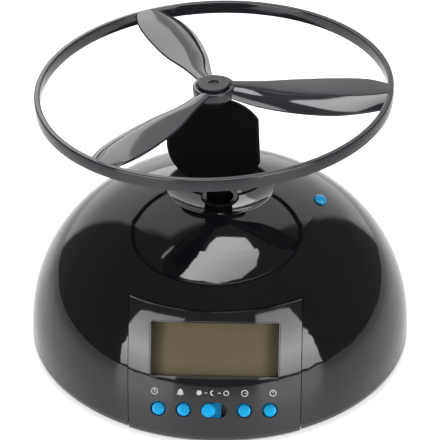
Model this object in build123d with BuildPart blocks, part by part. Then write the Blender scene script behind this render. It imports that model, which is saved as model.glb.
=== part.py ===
from build123d import *
import math
import os

# Runaway alarm clock: a domed clock whose alarm spins up and launches a ringed rotor.
# Millimetres, +Z up, origin under the dome's centre on the table, display facing -Y.

# ---------------------------------------------------------------- driving sizes
# Housing
foot_height = 0.8  # the feet stand out this far below the dome's rim
widest_radius = 65.0
equator_rise = 3.1  # rim to the widest circle
rim_tuck = 1.8  # how much narrower the rim is than the widest circle
crown_rise = 57.75  # widest circle to the virtual top of the dome
side_turn = 5.47  # the dome is a three-centre arch: a long arc at the side up to this angle,
crown_turn = 67.08  # a tighter arc round the shoulder up to this one, and a long arc over the crown
wall = 2.2
inner_runs = 5  # straight runs up the inner skin
lip_radius = 18.0  # edge of the launch bowl
lip_round = 0.7
bowl_depth = 4.4  # lip down to the bowl's floor
bowl_sag = 0.7
seam_gap = 0.25

# Front panel and display
panel_half_width = 28.2
panel_top_rise = 42.4  # above the dome's rim
panel_proud = 0.5
edge_bevel = 0.4
panel_edge_bevel = 0.35
display_tilt = 30.0  # the display leans back this far from upright
window_half_width = 20.8
window_half_height = 8.8
window_height = 33.2  # of the window's middle on the panel, above the table
window_frame_wall = 1.1
window_lens_thickness = 1.0
window_lens_margin = 1.0
lcd_margin = 1.2
lcd_thickness = 2.4
lcd_frame_wall = 0.9
lcd_frame_lap = 0.8  # how far the frame holds the glass's edge
zebra_width = 2.2
zebra_gap = 1.9  # glass back to board front, at least
board_thickness = 1.2
board_half_width = 27.4
board_above_window = 15.3  # from the window's middle
board_below_row = 2.5  # from the buttons' middles
board_corner_width = 7.7
board_corner_height = 9.8
board_boss_radius = 2.0
upper_boss_spot = (25.1, 9.8)  # across, and up from the window's middle
lower_boss_spot = (23.0, 5.3)  # across, and up from the buttons' middles
board_screw_radius = 1.0
board_screw_head_radius = 1.9
board_screw_head_height = 1.2
board_screw_length = 4.5

# Buttons and the mode switch
button_row_height = 14.0  # on the panel, above the table
inner_button_offset = 9.9
outer_button_offset = 18.2
button_radius = 2.3
button_bevel = 0.3
button_proud = 0.4
button_hole_gap = 0.35
button_flange_radius = 3.0
button_flange_thickness = 1.0
button_stem_radius = 1.5
button_travel = 0.7
rest_gap = 0.1
guide_wall = 0.8
tact_half_width = 3.0
tact_height = 2.6
tact_floor = 0.8
slot_half_height = 2.65
slot_wall = 1.0  # the panel is thinned round the slot, so that the slider runs close under it
knob_radius = 2.3
mode_step = 1.8  # one of two clicks
slot_end_gap = 0.15
slider_half_length = 4.15
slider_half_height = 2.75
slider_thickness = 1.0
slider_gap = 0.3
lever_half_width = 1.0
slide_switch_half_length = 5.6
slide_switch_half_height = 2.7
slide_switch_height = 2.8

# Dome button on the right flank
flank_button_reach = 33.7
flank_button_radius = 2.0
flank_button_proud = 1.0
flank_button_hole_gap = 0.3
flank_board_half_length = 9.0
flank_board_half_width = 4.5
flank_boss_offset = 6.6
flank_boss_radius = 2.0
flank_guide_depth = 3.3  # from the dome's face to the end of the button's guide
flank_switch_gap = 0.6  # flange to switch top, less the button's stroke

# Base plate
base_recess = 0.4
base_thickness = 2.0
base_gap = 0.3
foot_radius = 4.5
foot_recess = 0.8
foot_inset = 6.7  # from the base plate's edge to the feet's middles
foot_angle = 25.0
screw_inset = 7.7  # from the base plate's edge to the housing screws
screw_angle = 50.0
screw_radius = 1.3
screw_head_radius = 2.7
screw_head_height = 1.6
screw_length = 12.0
screw_boss_radius = 3.0
screw_gap = 0.1

# Battery bay: four AAA cells side by side
cell_radius = 5.25
cell_length = 43.5
cell_nub_radius = 1.9
cell_nub_length = 1.0
cell_pitch = 10.9
cell_gap = 0.35
contact_space = 2.2  # at each end of a cell
bay_wall = 1.5
bay_front = 5.0
door_thickness = 1.5
door_ledge = 1.1
door_gap = 0.2
door_corner = 2.0
contact_thickness = 0.4
contact_half_width = 3.6
contact_gap = 0.05
door_screw_spot = (12.0, 1.2)
door_tab_radius = 3.4
door_boss_radius = 3.0
door_screw_head_height = 0.8
door_screw_length = 5.0

# Speaker
speaker_spot = (24.0, -24.0)
speaker_radius = 14.0
speaker_height = 4.6
speaker_rim_height = 1.6
speaker_cone_depth = 0.6
speaker_magnet_radius = 8.0
speaker_wall = 1.2
speaker_wall_height = 5.0
speaker_gap = 0.3
grille_slot_width = 1.6
grille_pitch = 3.6
grille_slots = 6

# Drive
gear_module = 0.75
gear_teeth = 36
pinion_teeth = 12
pressure_angle = 20.0
backlash = 0.14
tooth_root = 1.2  # root circle below the pitch circle, in modules
tooth_rises = (-1.3, -0.45, 0.3, 0.95)  # corners up a flank from the pitch circle, in modules
gear_thickness = 4.0
gear_hub_length = 2.4
gear_rise = 1.4  # bush flange to the gear's underside
motor_direction = 205.0
motor_radius = 10.0
motor_flat_half_width = 7.6
motor_shaft_radius = 1.0
motor_nose_radius = 3.0
motor_nose_height = 1.6
motor_end_height = 2.4
deck_thickness = 2.4
leg_radius = 2.6
leg_gap = 1.0  # from a leg to what stands beside it
bay_leg_reach = 9.0  # how far back the leg beside the battery bay stands
motor_leg_direction = 233.0  # of the leg beside the motor, as seen from the motor
front_leg_spot = (9.0, -11.0)
roof_leg_spot = (13.5, 9.5)
leg_screw_radius = 1.2
leg_screw_head_radius = 2.3
leg_screw_head_height = 1.4
leg_screw_length = 10.0
spindle_radius = 2.5
spindle_foot = 9.0
bush_radius = 4.0
bush_length = 4.0
bush_flange_radius = 5.0
bush_flange = 0.8
running_gap = 0.05
post_radius = 4.9
cup_radius = 6.2
cup_hole_gap = 0.25
cup_proud = 0.4
socket_depth = 9.0
cup_floor = 2.6
hub_gear_radius = 5.0

# Flyer: launch key and ringed rotor
flyer_lean = 2.2  # the key stands loose in its socket and tips this far to the left
stem_radius = 4.05
socket_gap = 0.55
stem_rest_gap = 0.25
tang_half_width = 3.2
tang_half_thickness = 1.2
tang_length = 2.2
tang_gap = 0.45
bow_radius = 16.5
bow_flat_offset = 14.4  # one side of the bow is trimmed flat this far from the stem's axis
bow_half_thickness = 1.5
bow_bevel = 0.8
bow_height = 77.1
neck_radius = 4.2
neck_length = 1.0  # top of the bow to the rotor's hub
hub_height = 4.2
hub_radius = 6.95
hub_taper = 0.8
hub_groove_depth = 0.7
hub_groove_width = 0.5
hub_cap_radius = 5.3
hub_cap_height = 0.95
hub_cap_hole = 1.7
peg_radius = 3.2
peg_half_width = 2.6
peg_length = 2.4
peg_gap = 0.1
rotor_screw_radius = 1.0
rotor_screw_head_radius = 1.6
rotor_screw_head_height = 1.1
rotor_screw_length = 9.0
rotor_screw_recess = 0.45
ring_radius = 59.1
ring_thickness = 2.0
ring_height = 4.3
ring_bevel = 0.3
ring_drop = 0.1  # how far the ring reaches below the hub
blade_count = 3
blade_azimuth = -6.7
blade_thickness = 1.0

# Blade stations: distance out, nose edge, crease and flap edge across the blade (counter-clockwise
# is positive), then the drops of the nose, crease and flap edge below the rotor's top face.
blade_stations = (
    (5.9, 3.2, 0.8, -2.4, 0.1, -0.2, 3.6),
    (15.0, 4.4, 0.7, -4.4, 0.2, 0.1, 5.3),
    (27.0, 7.1, -1.5, -6.8, 0.6, 0.0, 5.6),
    (40.0, 8.3, -2.5, -8.7, 0.2, -0.2, 4.9),
    (50.0, 8.0, -2.0, -7.5, -0.1, -0.2, 4.0),
    (58.1, 5.7, 0.0, -4.8, 0.1, -0.2, 3.7),
)

# ---------------------------------------------------------------- shared geometry
rim = foot_height
equator = rim + equator_rise
tilt = math.radians(display_tilt)


# The arch's arcs, and their centres as radius and height.
side_joint = math.radians(side_turn)
crown_joint = math.radians(crown_turn)
arc_step = (widest_radius - crown_rise) / (
    math.sin(crown_joint) + math.cos(crown_joint) - math.sin(side_joint) - math.cos(side_joint)
)
long_arc = widest_radius + arc_step * (math.cos(side_joint) - math.cos(crown_joint))
shoulder_arc = long_arc - arc_step
crown_centre = (0.0, equator + crown_rise - long_arc)
side_centre = (widest_radius - long_arc, equator)
shoulder_centre = (
    side_centre[0] + arc_step * math.cos(side_joint),
    side_centre[1] + arc_step * math.sin(side_joint),
)


def arch_point(centre, arc, angle):
    """Point of one of the dome's arcs, as radius and height."""
    return (centre[0] + arc * math.cos(angle), centre[1] + arc * math.sin(angle))


def dome_radius(height, inset=0.0):
    """Radius of the dome at a height, or of the surface that lies inset inside it."""
    centre, arc = crown_centre, long_arc
    if height < arch_point(shoulder_centre, shoulder_arc - inset, side_joint)[1]:
        centre, arc = side_centre, long_arc
    elif height < arch_point(shoulder_centre, shoulder_arc - inset, crown_joint)[1]:
        centre, arc = shoulder_centre, shoulder_arc
    rise = max(height, equator) - centre[1]
    return centre[0] + math.sqrt(max((arc - inset) ** 2 - rise**2, 0.0))


def dome_height(radius, inset=0.0):
    """Height of the dome at a radius, or of the surface that lies inset inside it."""
    centre, arc = side_centre, long_arc
    if radius < arch_point(shoulder_centre, shoulder_arc - inset, crown_joint)[0]:
        centre, arc = crown_centre, long_arc
    elif radius < arch_point(shoulder_centre, shoulder_arc - inset, side_joint)[0]:
        centre, arc = shoulder_centre, shoulder_arc
    return centre[1] + math.sqrt((arc - inset) ** 2 - (radius - centre[0]) ** 2)


def dome_arcs(inset, top_radius):
    """Ends and middles of the dome's arcs, from the widest circle to top_radius."""
    top = (top_radius, dome_height(top_radius, inset))
    top_angle = math.atan2(top[1] - crown_centre[1], top_radius)
    spans = [
        (side_centre, long_arc - inset, 0.0, side_joint),
        (shoulder_centre, shoulder_arc - inset, side_joint, crown_joint),
        (crown_centre, long_arc - inset, crown_joint, top_angle),
    ]
    return [
        [arch_point(centre, arc, angle) for angle in (start, (start + end) / 2, end)]
        for centre, arc, start, end in spans
    ]


# The inner skin's profile is straight between these corners, from the widest circle to the lip.
inner_top = dome_height(lip_radius, wall)
inner_side = []
for run in range(inner_runs + 1):
    run_height = equator + (inner_top - equator) * math.sin(math.pi / 2 * run / inner_runs)
    inner_side.append((dome_radius(run_height, wall), run_height))


def inner_radius(height):
    """Radius of the inner skin at a height."""
    for (low_radius, low), (high_radius, high) in zip(inner_side, inner_side[1:]):
        if height <= high:
            share = max(height - low, 0.0) / (high - low)
            return low_radius + share * (high_radius - low_radius)
    return 0.0


lip_height = dome_height(lip_radius)
bowl_floor = lip_height - bowl_depth
cup_hole_radius = cup_radius + cup_hole_gap
base_radius = widest_radius - rim_tuck - wall - base_gap
base_bottom = rim + base_recess
base_top = base_bottom + base_thickness
rim_corner = (rim_tuck / 4, equator_rise / 2)  # in from the widest circle, and down

# The display, its board and the row of buttons share one plane that leans back by display_tilt.
display_plane = Plane(
    origin=(0, 0, rim), x_dir=(1, 0, 0), z_dir=(0, -math.cos(tilt), math.sin(tilt))
)
outward_axis = Axis((0, 0, rim), (0, -math.cos(tilt), math.sin(tilt)))


def along_display(height):
    """How far up the display plane the panel's centre line is at a height."""
    return (height - rim) * math.cos(tilt) - dome_radius(height) * math.sin(tilt)


def skin_depth(across, up, skin=dome_radius):
    """How far out along the display plane's normal a line meets the outer or inner skin."""
    near, far = 0.0, 2 * widest_radius
    for _ in range(40):
        middle = (near + far) / 2
        back = up * math.sin(tilt) - middle * math.cos(tilt)
        height = rim + up * math.cos(tilt) + middle * math.sin(tilt)
        if math.hypot(across, back) < skin(height):
            near = middle
        else:
            far = middle
    return near


window_up = along_display(window_height)
row_up = along_display(button_row_height)
window_end = (
    min(
        skin_depth(window_half_width, window_up + side * window_half_height, inner_radius)
        for side in (-1, 1)
    )
    - window_frame_wall
)
lcd_front = window_end - rest_gap
lcd_back = lcd_front - lcd_thickness
guide_end = (
    min(
        skin_depth(outer_button_offset + button_flange_radius, row_up + side, inner_radius)
        for side in (-button_flange_radius, button_flange_radius)
    )
    - seam_gap
)
flange_front = guide_end - rest_gap
flange_back = flange_front - button_flange_thickness
board_front = min(lcd_back - zebra_gap, flange_back - button_travel - rest_gap - tact_height)
board_back = board_front - board_thickness
tact_top = board_front + tact_height
button_hole_radius = button_radius + button_hole_gap
slot_half_length = knob_radius + mode_step + slot_end_gap
pocket_half_length = slider_half_length + mode_step + slider_gap
pocket_half_height = slider_half_height + slider_gap
pocket_front = (
    skin_depth(pocket_half_length, row_up - pocket_half_height) + panel_proud - slot_wall
)
slider_front = pocket_front - slider_gap
front_buttons = {
    "time_button": -outer_button_offset,
    "alarm_button": -inner_button_offset,
    "hour_button": inner_button_offset,
    "minute_button": outer_button_offset,
}
board_top = window_up + board_above_window
board_bottom = row_up - board_below_row
board_bosses = [
    (side * spot[0], level + spot[1])
    for level, spot in ((window_up, upper_boss_spot), (row_up, lower_boss_spot))
    for side in (-1, 1)
]

# The flank button stands square to the dome.
flank_height = dome_height(flank_button_reach)
flank_angle = math.atan2(
    flank_button_reach - shoulder_centre[0], flank_height - shoulder_centre[1]
)
flank_plane = Plane(
    origin=(flank_button_reach, 0, flank_height),
    x_dir=(math.cos(flank_angle), 0, -math.sin(flank_angle)),
    z_dir=(math.sin(flank_angle), 0, math.cos(flank_angle)),
)
flank_flange_front = -flank_guide_depth - rest_gap
flank_tact_top = flank_flange_front - button_flange_thickness - button_travel - flank_switch_gap
flank_board_front = flank_tact_top - tact_height

foot_circle = base_radius - foot_inset
screw_circle = base_radius - screw_inset
screw_spots = [
    (screw_circle * math.cos(math.radians(a)), screw_circle * math.sin(math.radians(a)))
    for a in (screw_angle, 180 - screw_angle, 180 + screw_angle, -screw_angle)
]
foot_spots = [
    (foot_circle * math.cos(math.radians(a)), foot_circle * math.sin(math.radians(a)))
    for a in (foot_angle, 180 - foot_angle, 180 + foot_angle, -foot_angle)
]
cell_spots = [(index - 1.5) * cell_pitch for index in range(4)]
bay_half_width = 1.5 * cell_pitch + cell_radius + cell_gap
bay_length = cell_length + cell_nub_length + 2 * contact_space
bay_middle = bay_front + bay_length / 2
cell_height = base_top + cell_gap + cell_radius
bay_roof = cell_height + cell_radius + cell_gap
door_top = base_bottom + door_thickness

gear_radius = gear_module * gear_teeth / 2
pinion_radius = gear_module * pinion_teeth / 2
gear_distance = gear_radius + pinion_radius
motor_spot = (
    gear_distance * math.cos(math.radians(motor_direction)),
    gear_distance * math.sin(math.radians(motor_direction)),
)
cup_top = bowl_floor + cup_proud
socket_floor = cup_top - socket_depth
cup_underside = socket_floor - tang_length - tang_gap - cup_floor
lean_pivot = socket_floor - tang_length
hub_underside = bow_height + bow_radius + neck_length
hub_top = hub_underside + hub_height
ring_underside = hub_underside - ring_drop

# The gear hangs under the cup, the deck under the gear, and the motor reaches down to the base.
gear_height = cup_underside - gear_hub_length - gear_thickness
deck_height = gear_height - gear_rise - bush_flange - deck_thickness
motor_length = deck_height - motor_end_height - base_top
motor_leg_reach = motor_radius + leg_radius + leg_gap
leg_spots = (
    (-(bay_half_width + bay_wall + leg_gap + leg_radius), bay_leg_reach),
    (
        motor_spot[0] + motor_leg_reach * math.cos(math.radians(motor_leg_direction)),
        motor_spot[1] + motor_leg_reach * math.sin(math.radians(motor_leg_direction)),
    ),
    front_leg_spot,
)

os.makedirs("parts", exist_ok=True)

# ---------------------------------------------------------------- dome shell
# The space inside the dome, less the bosses that stand in it.
with BuildPart() as dome_space:
    with BuildSketch(Plane.XZ):
        with BuildLine():
            Polyline(
                *inner_side,
                (cup_hole_radius, bowl_floor - wall),
                (0, bowl_floor - wall),
                (0, rim),
                (widest_radius - rim_tuck - wall, rim),
                close=True,
            )
        make_face()
    revolve(axis=Axis.Z)
    with BuildSketch(Plane.XY.offset(base_top)):
        with Locations(*screw_spots):
            Circle(screw_boss_radius)
    extrude(amount=crown_rise, mode=Mode.SUBTRACT)
    with BuildSketch(flank_plane.offset(flank_board_front)):
        with Locations((-flank_boss_offset, 0), (flank_boss_offset, 0)):
            Circle(flank_boss_radius)
    extrude(amount=2 * tact_height + wall, mode=Mode.SUBTRACT)
    with BuildSketch(flank_plane.offset(-flank_guide_depth)):
        Circle(flank_button_radius + flank_button_hole_gap + guide_wall)
    extrude(amount=flank_guide_depth, mode=Mode.SUBTRACT)

with BuildPart() as dome_shell:
    with BuildSketch(Plane.XZ):
        with BuildLine():
            for arc_points in dome_arcs(0, lip_radius):
                ThreePointArc(*arc_points)
            ThreePointArc(
                (lip_radius, lip_height),
                ((lip_radius + cup_hole_radius) / 2, lip_height - bowl_depth / 2 - bowl_sag),
                (cup_hole_radius, bowl_floor),
            )
            Polyline(
                (cup_hole_radius, bowl_floor),
                (0, bowl_floor),
                (0, rim),
                (widest_radius - rim_tuck, rim),
                (widest_radius - rim_corner[0], equator - rim_corner[1]),
                (widest_radius, equator),
            )
        make_face()
    revolve(axis=Axis.Z)
    lip = edges().filter_by(GeomType.CIRCLE).filter_by(
        lambda e: abs(e.radius - lip_radius) < 0.01
    )
    fillet(lip, lip_round)
    add(dome_space.part, mode=Mode.SUBTRACT)
    # Cup hole
    with BuildSketch(Plane.XY.offset(bowl_floor + lip_round)):
        Circle(cup_hole_radius)
    extrude(amount=-bowl_depth - wall, mode=Mode.SUBTRACT)
    # Opening for the front panel
    with BuildSketch(Plane.XZ):
        with Locations((0, rim)):
            Rectangle(
                2 * (panel_half_width + seam_gap),
                panel_top_rise + seam_gap,
                align=(Align.CENTER, Align.MIN),
            )
    extrude(amount=2 * widest_radius, mode=Mode.SUBTRACT)
    # Flank button hole
    with BuildSketch(flank_plane):
        Circle(flank_button_radius + flank_button_hole_gap)
    extrude(amount=2 * wall, both=True, mode=Mode.SUBTRACT)
    # Screw pilots
    with BuildSketch(Plane.XY.offset(base_top)):
        with Locations(*screw_spots):
            Circle(screw_radius + screw_gap)
    extrude(amount=screw_length, mode=Mode.SUBTRACT)
    with BuildSketch(flank_plane.offset(flank_board_front)):
        with Locations((-flank_boss_offset, 0), (flank_boss_offset, 0)):
            Circle(board_screw_radius + screw_gap)
    extrude(amount=board_screw_length - board_thickness, mode=Mode.SUBTRACT)
dome_shell.part.label = "dome_shell"
export_step(dome_shell.part, "parts/dome_shell.step")

# ---------------------------------------------------------------- front panel
# The space behind the panel, less the window frame, button guides and board bosses.
with BuildPart() as panel_space:
    with BuildSketch(Plane.XZ):
        with BuildLine():
            Polyline(
                *inner_side,
                (0, inner_top),
                (0, rim),
                (widest_radius - rim_tuck - wall, rim),
                close=True,
            )
        make_face()
    revolve(axis=Axis.Z)
    with BuildSketch(display_plane.offset(window_end)):
        with Locations((0, window_up)):
            Rectangle(
                2 * (window_half_width + window_lens_margin + window_frame_wall),
                2 * (window_half_height + window_lens_margin + window_frame_wall),
            )
    extrude(amount=widest_radius, mode=Mode.SUBTRACT)
    with BuildSketch(display_plane.offset(guide_end)):
        with Locations(*[(across, row_up) for across in front_buttons.values()]):
            Circle(button_hole_radius + guide_wall)
    extrude(amount=widest_radius, mode=Mode.SUBTRACT)
    with BuildSketch(display_plane.offset(board_front)):
        with Locations(*board_bosses):
            Circle(board_boss_radius)
    extrude(amount=widest_radius, mode=Mode.SUBTRACT)

with BuildPart() as front_panel:
    with BuildSketch(Plane.XZ):
        with BuildLine():
            for arc_points in dome_arcs(-panel_proud, lip_radius):
                ThreePointArc(*arc_points)
            Polyline(
                (lip_radius, dome_height(lip_radius, -panel_proud)),
                (0, inner_top),
                (0, rim),
                (widest_radius + panel_proud - rim_tuck, rim),
                (widest_radius + panel_proud - rim_corner[0], equator - rim_corner[1]),
                (widest_radius + panel_proud, equator),
            )
        make_face()
    revolve(axis=Axis.Z)
    with BuildSketch(Plane.XZ):
        with Locations((0, rim)):
            Rectangle(2 * panel_half_width, panel_top_rise, align=(Align.CENTER, Align.MIN))
    extrude(amount=2 * widest_radius, mode=Mode.INTERSECT)
    add(panel_space.part, mode=Mode.SUBTRACT)
    # Top edge broken where it stands proud of the dome
    top_arcs = edges().filter_by(GeomType.CIRCLE).filter_by(Plane.XY).group_by(Axis.Z)[-1]
    chamfer(top_arcs.sort_by(SortBy.RADIUS)[-1], panel_edge_bevel)
    # Window and the seat of its lens
    with BuildSketch(display_plane.offset(board_back)):
        with Locations((0, window_up)):
            Rectangle(2 * window_half_width, 2 * window_half_height)
    extrude(amount=widest_radius, mode=Mode.SUBTRACT)
    with BuildSketch(display_plane.offset(window_end)):
        with Locations((0, window_up)):
            Rectangle(
                2 * (window_half_width + window_lens_margin),
                2 * (window_half_height + window_lens_margin),
            )
    extrude(amount=window_lens_thickness, mode=Mode.SUBTRACT)
    # Pocket for the slider behind the mode slot
    with BuildSketch(display_plane.offset(board_front)):
        with Locations((0, row_up)):
            Rectangle(2 * pocket_half_length, 2 * pocket_half_height)
    extrude(amount=pocket_front - board_front, mode=Mode.SUBTRACT)
    # Button holes, the mode slot and the board screws' pilots
    with BuildSketch(display_plane.offset(board_front)):
        with Locations(*[(across, row_up) for across in front_buttons.values()]):
            Circle(button_hole_radius)
        with Locations((0, row_up)):
            SlotOverall(2 * slot_half_length, 2 * slot_half_height)
    extrude(amount=widest_radius, mode=Mode.SUBTRACT)
    with BuildSketch(display_plane.offset(board_front)):
        with Locations(*board_bosses):
            Circle(board_screw_radius + screw_gap)
    extrude(amount=board_screw_length - board_thickness, mode=Mode.SUBTRACT)
front_panel.part.label = "front_panel"
export_step(front_panel.part, "parts/front_panel.step")

# ---------------------------------------------------------------- display
with BuildPart() as display_window:
    with BuildSketch(display_plane.offset(window_end)):
        with Locations((0, window_up)):
            Rectangle(
                2 * (window_half_width + window_lens_margin - screw_gap),
                2 * (window_half_height + window_lens_margin - screw_gap),
            )
    extrude(amount=window_lens_thickness)
display_window.part.label = "display_window"
export_step(display_window.part, "parts/display_window.step")

lcd_half_width = window_half_width + lcd_margin
lcd_half_height = window_half_height + lcd_margin
with BuildPart() as lcd_panel:
    with BuildSketch(display_plane.offset(lcd_back)):
        with Locations((0, window_up)):
            Rectangle(2 * lcd_half_width, 2 * lcd_half_height)
    extrude(amount=lcd_thickness)
lcd_panel.part.label = "lcd_panel"
export_step(lcd_panel.part, "parts/lcd_panel.step")

with BuildPart() as lcd_frame:
    with BuildSketch(display_plane.offset(board_front)):
        with Locations((0, window_up)):
            Rectangle(2 * (lcd_half_width + lcd_frame_wall), 2 * (lcd_half_height + lcd_frame_wall))
            Rectangle(
                2 * (lcd_half_width + screw_gap), 2 * (lcd_half_height + screw_gap), mode=Mode.SUBTRACT
            )
    extrude(amount=lcd_back + lcd_frame_lap - board_front)
lcd_frame.part.label = "lcd_frame"
export_step(lcd_frame.part, "parts/lcd_frame.step")

with BuildPart() as zebra_strips:
    with BuildSketch(display_plane.offset(board_front)):
        for side in (-1, 1):
            with Locations((0, window_up + side * (lcd_half_height - zebra_width / 2))):
                Rectangle(2 * lcd_half_width, zebra_width)
    extrude(amount=lcd_back - board_front)
zebra_strips.part.label = "zebra_strips"
export_step(zebra_strips.part, "parts/zebra_strips.step")

# ---------------------------------------------------------------- circuit board
with BuildPart() as circuit_board:
    with BuildSketch(display_plane.offset(board_back)):
        with BuildLine():
            Polyline(
                (-board_half_width, board_top),
                (board_half_width, board_top),
                (board_half_width, board_bottom + board_corner_height),
                (board_half_width - board_corner_width, board_bottom),
                (board_corner_width - board_half_width, board_bottom),
                (-board_half_width, board_bottom + board_corner_height),
                close=True,
            )
        make_face()
        with Locations(*board_bosses):
            Circle(board_screw_radius + screw_gap, mode=Mode.SUBTRACT)
    extrude(amount=board_thickness)
circuit_board.part.label = "circuit_board"
export_step(circuit_board.part, "parts/circuit_board.step")

with BuildPart() as board_screws:
    for spot in board_bosses:
        with BuildSketch(display_plane.offset(board_back)):
            with Locations(spot):
                Circle(board_screw_head_radius)
        extrude(amount=-board_screw_head_height)
        with BuildSketch(display_plane.offset(board_back)):
            with Locations(spot):
                Circle(board_screw_radius)
        extrude(amount=board_screw_length - screw_gap)
board_screws.part.label = "board_screws"
export_step(board_screws.part, "parts/board_screws.step")

with BuildPart() as tact_switches:
    with BuildSketch(display_plane.offset(board_front)):
        with Locations(*[(across, row_up) for across in front_buttons.values()]):
            Rectangle(2 * tact_half_width, 2 * tact_half_width)
    extrude(amount=tact_height)
    with BuildSketch(display_plane.offset(board_front + tact_floor)):
        with Locations(*[(across, row_up) for across in front_buttons.values()]):
            Circle(button_stem_radius + seam_gap)
    extrude(amount=tact_height, mode=Mode.SUBTRACT)
tact_switches.part.label = "tact_switches"
export_step(tact_switches.part, "parts/tact_switches.step")

with BuildPart() as slide_switch:
    with BuildSketch(display_plane.offset(board_front)):
        with Locations((0, row_up)):
            Rectangle(2 * slide_switch_half_length, 2 * slide_switch_half_height)
    extrude(amount=slide_switch_height)
    with BuildSketch(display_plane.offset(board_front + tact_floor)):
        with Locations((0, row_up)):
            Rectangle(2 * (mode_step + lever_half_width + seam_gap), 2 * (lever_half_width + seam_gap))
    extrude(amount=slide_switch_height, mode=Mode.SUBTRACT)
slide_switch.part.label = "slide_switch"
export_step(slide_switch.part, "parts/slide_switch.step")

# ---------------------------------------------------------------- buttons
for name, across in front_buttons.items():
    face = skin_depth(across, row_up) + button_proud
    with BuildPart() as front_button:
        with BuildSketch(display_plane.offset(flange_back)):
            with Locations((across, row_up)):
                Circle(button_flange_radius)
        extrude(amount=button_flange_thickness)
        with BuildSketch(display_plane.offset(flange_front)):
            with Locations((across, row_up)):
                Circle(button_radius)
        extrude(amount=face - flange_front)
        chamfer(faces().sort_by(outward_axis)[-1].edges(), button_bevel)
        with BuildSketch(display_plane.offset(flange_back)):
            with Locations((across, row_up)):
                Circle(button_stem_radius)
        extrude(amount=tact_top - flange_back - button_travel / 2)
    front_button.part.label = name
    export_step(front_button.part, f"parts/{name}.step")

with BuildPart() as mode_switch:
    with BuildSketch(display_plane.offset(slider_front)):
        with Locations((-mode_step, row_up)):
            Rectangle(2 * slider_half_length, 2 * slider_half_height)
    extrude(amount=-slider_thickness)
    with BuildSketch(display_plane.offset(slider_front)):
        with Locations((-mode_step, row_up)):
            Circle(knob_radius)
    extrude(amount=skin_depth(0, row_up) + button_proud - slider_front)
    chamfer(faces().sort_by(outward_axis)[-1].edges(), button_bevel)
    with BuildSketch(display_plane.offset(slider_front - slider_thickness)):
        with Locations((-mode_step, row_up)):
            Rectangle(2 * lever_half_width, 2 * lever_half_width)
    extrude(amount=board_front + 2 * tact_floor - slider_front + slider_thickness)
mode_switch.part.label = "mode_switch"
export_step(mode_switch.part, "parts/mode_switch.step")

with BuildPart() as dome_button:
    with BuildSketch(flank_plane.offset(flank_flange_front - button_flange_thickness)):
        Circle(button_flange_radius)
    extrude(amount=button_flange_thickness)
    with BuildSketch(flank_plane.offset(flank_flange_front)):
        Circle(flank_button_radius)
    extrude(amount=flank_button_proud - flank_flange_front)
    chamfer(faces().sort_by(Axis((0, 0, 0), flank_plane.z_dir))[-1].edges(), button_bevel)
    with BuildSketch(flank_plane.offset(flank_flange_front - button_flange_thickness)):
        Circle(button_stem_radius)
    extrude(amount=flank_tact_top - button_travel / 2 - flank_flange_front + button_flange_thickness)
dome_button.part.label = "dome_button"
export_step(dome_button.part, "parts/dome_button.step")

with BuildPart() as dome_button_board:
    with BuildSketch(flank_plane.offset(flank_board_front)):
        Rectangle(2 * flank_board_half_length, 2 * flank_board_half_width)
        with Locations((-flank_boss_offset, 0), (flank_boss_offset, 0)):
            Circle(board_screw_radius + screw_gap, mode=Mode.SUBTRACT)
    extrude(amount=-board_thickness)
dome_button_board.part.label = "dome_button_board"
export_step(dome_button_board.part, "parts/dome_button_board.step")

with BuildPart() as dome_tact_switch:
    with BuildSketch(flank_plane.offset(flank_board_front)):
        Rectangle(2 * tact_half_width, 2 * tact_half_width)
    extrude(amount=tact_height)
    with BuildSketch(flank_plane.offset(flank_board_front + tact_floor)):
        Circle(button_stem_radius + seam_gap)
    extrude(amount=tact_height, mode=Mode.SUBTRACT)
dome_tact_switch.part.label = "dome_tact_switch"
export_step(dome_tact_switch.part, "parts/dome_tact_switch.step")

with BuildPart() as dome_board_screws:
    for offset_along in (-flank_boss_offset, flank_boss_offset):
        with BuildSketch(flank_plane.offset(flank_board_front - board_thickness)):
            with Locations((offset_along, 0)):
                Circle(board_screw_head_radius)
        extrude(amount=-board_screw_head_height)
        with BuildSketch(flank_plane.offset(flank_board_front - board_thickness)):
            with Locations((offset_along, 0)):
                Circle(board_screw_radius)
        extrude(amount=board_screw_length - screw_gap)
dome_board_screws.part.label = "dome_board_screws"
export_step(dome_board_screws.part, "parts/dome_board_screws.step")

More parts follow.
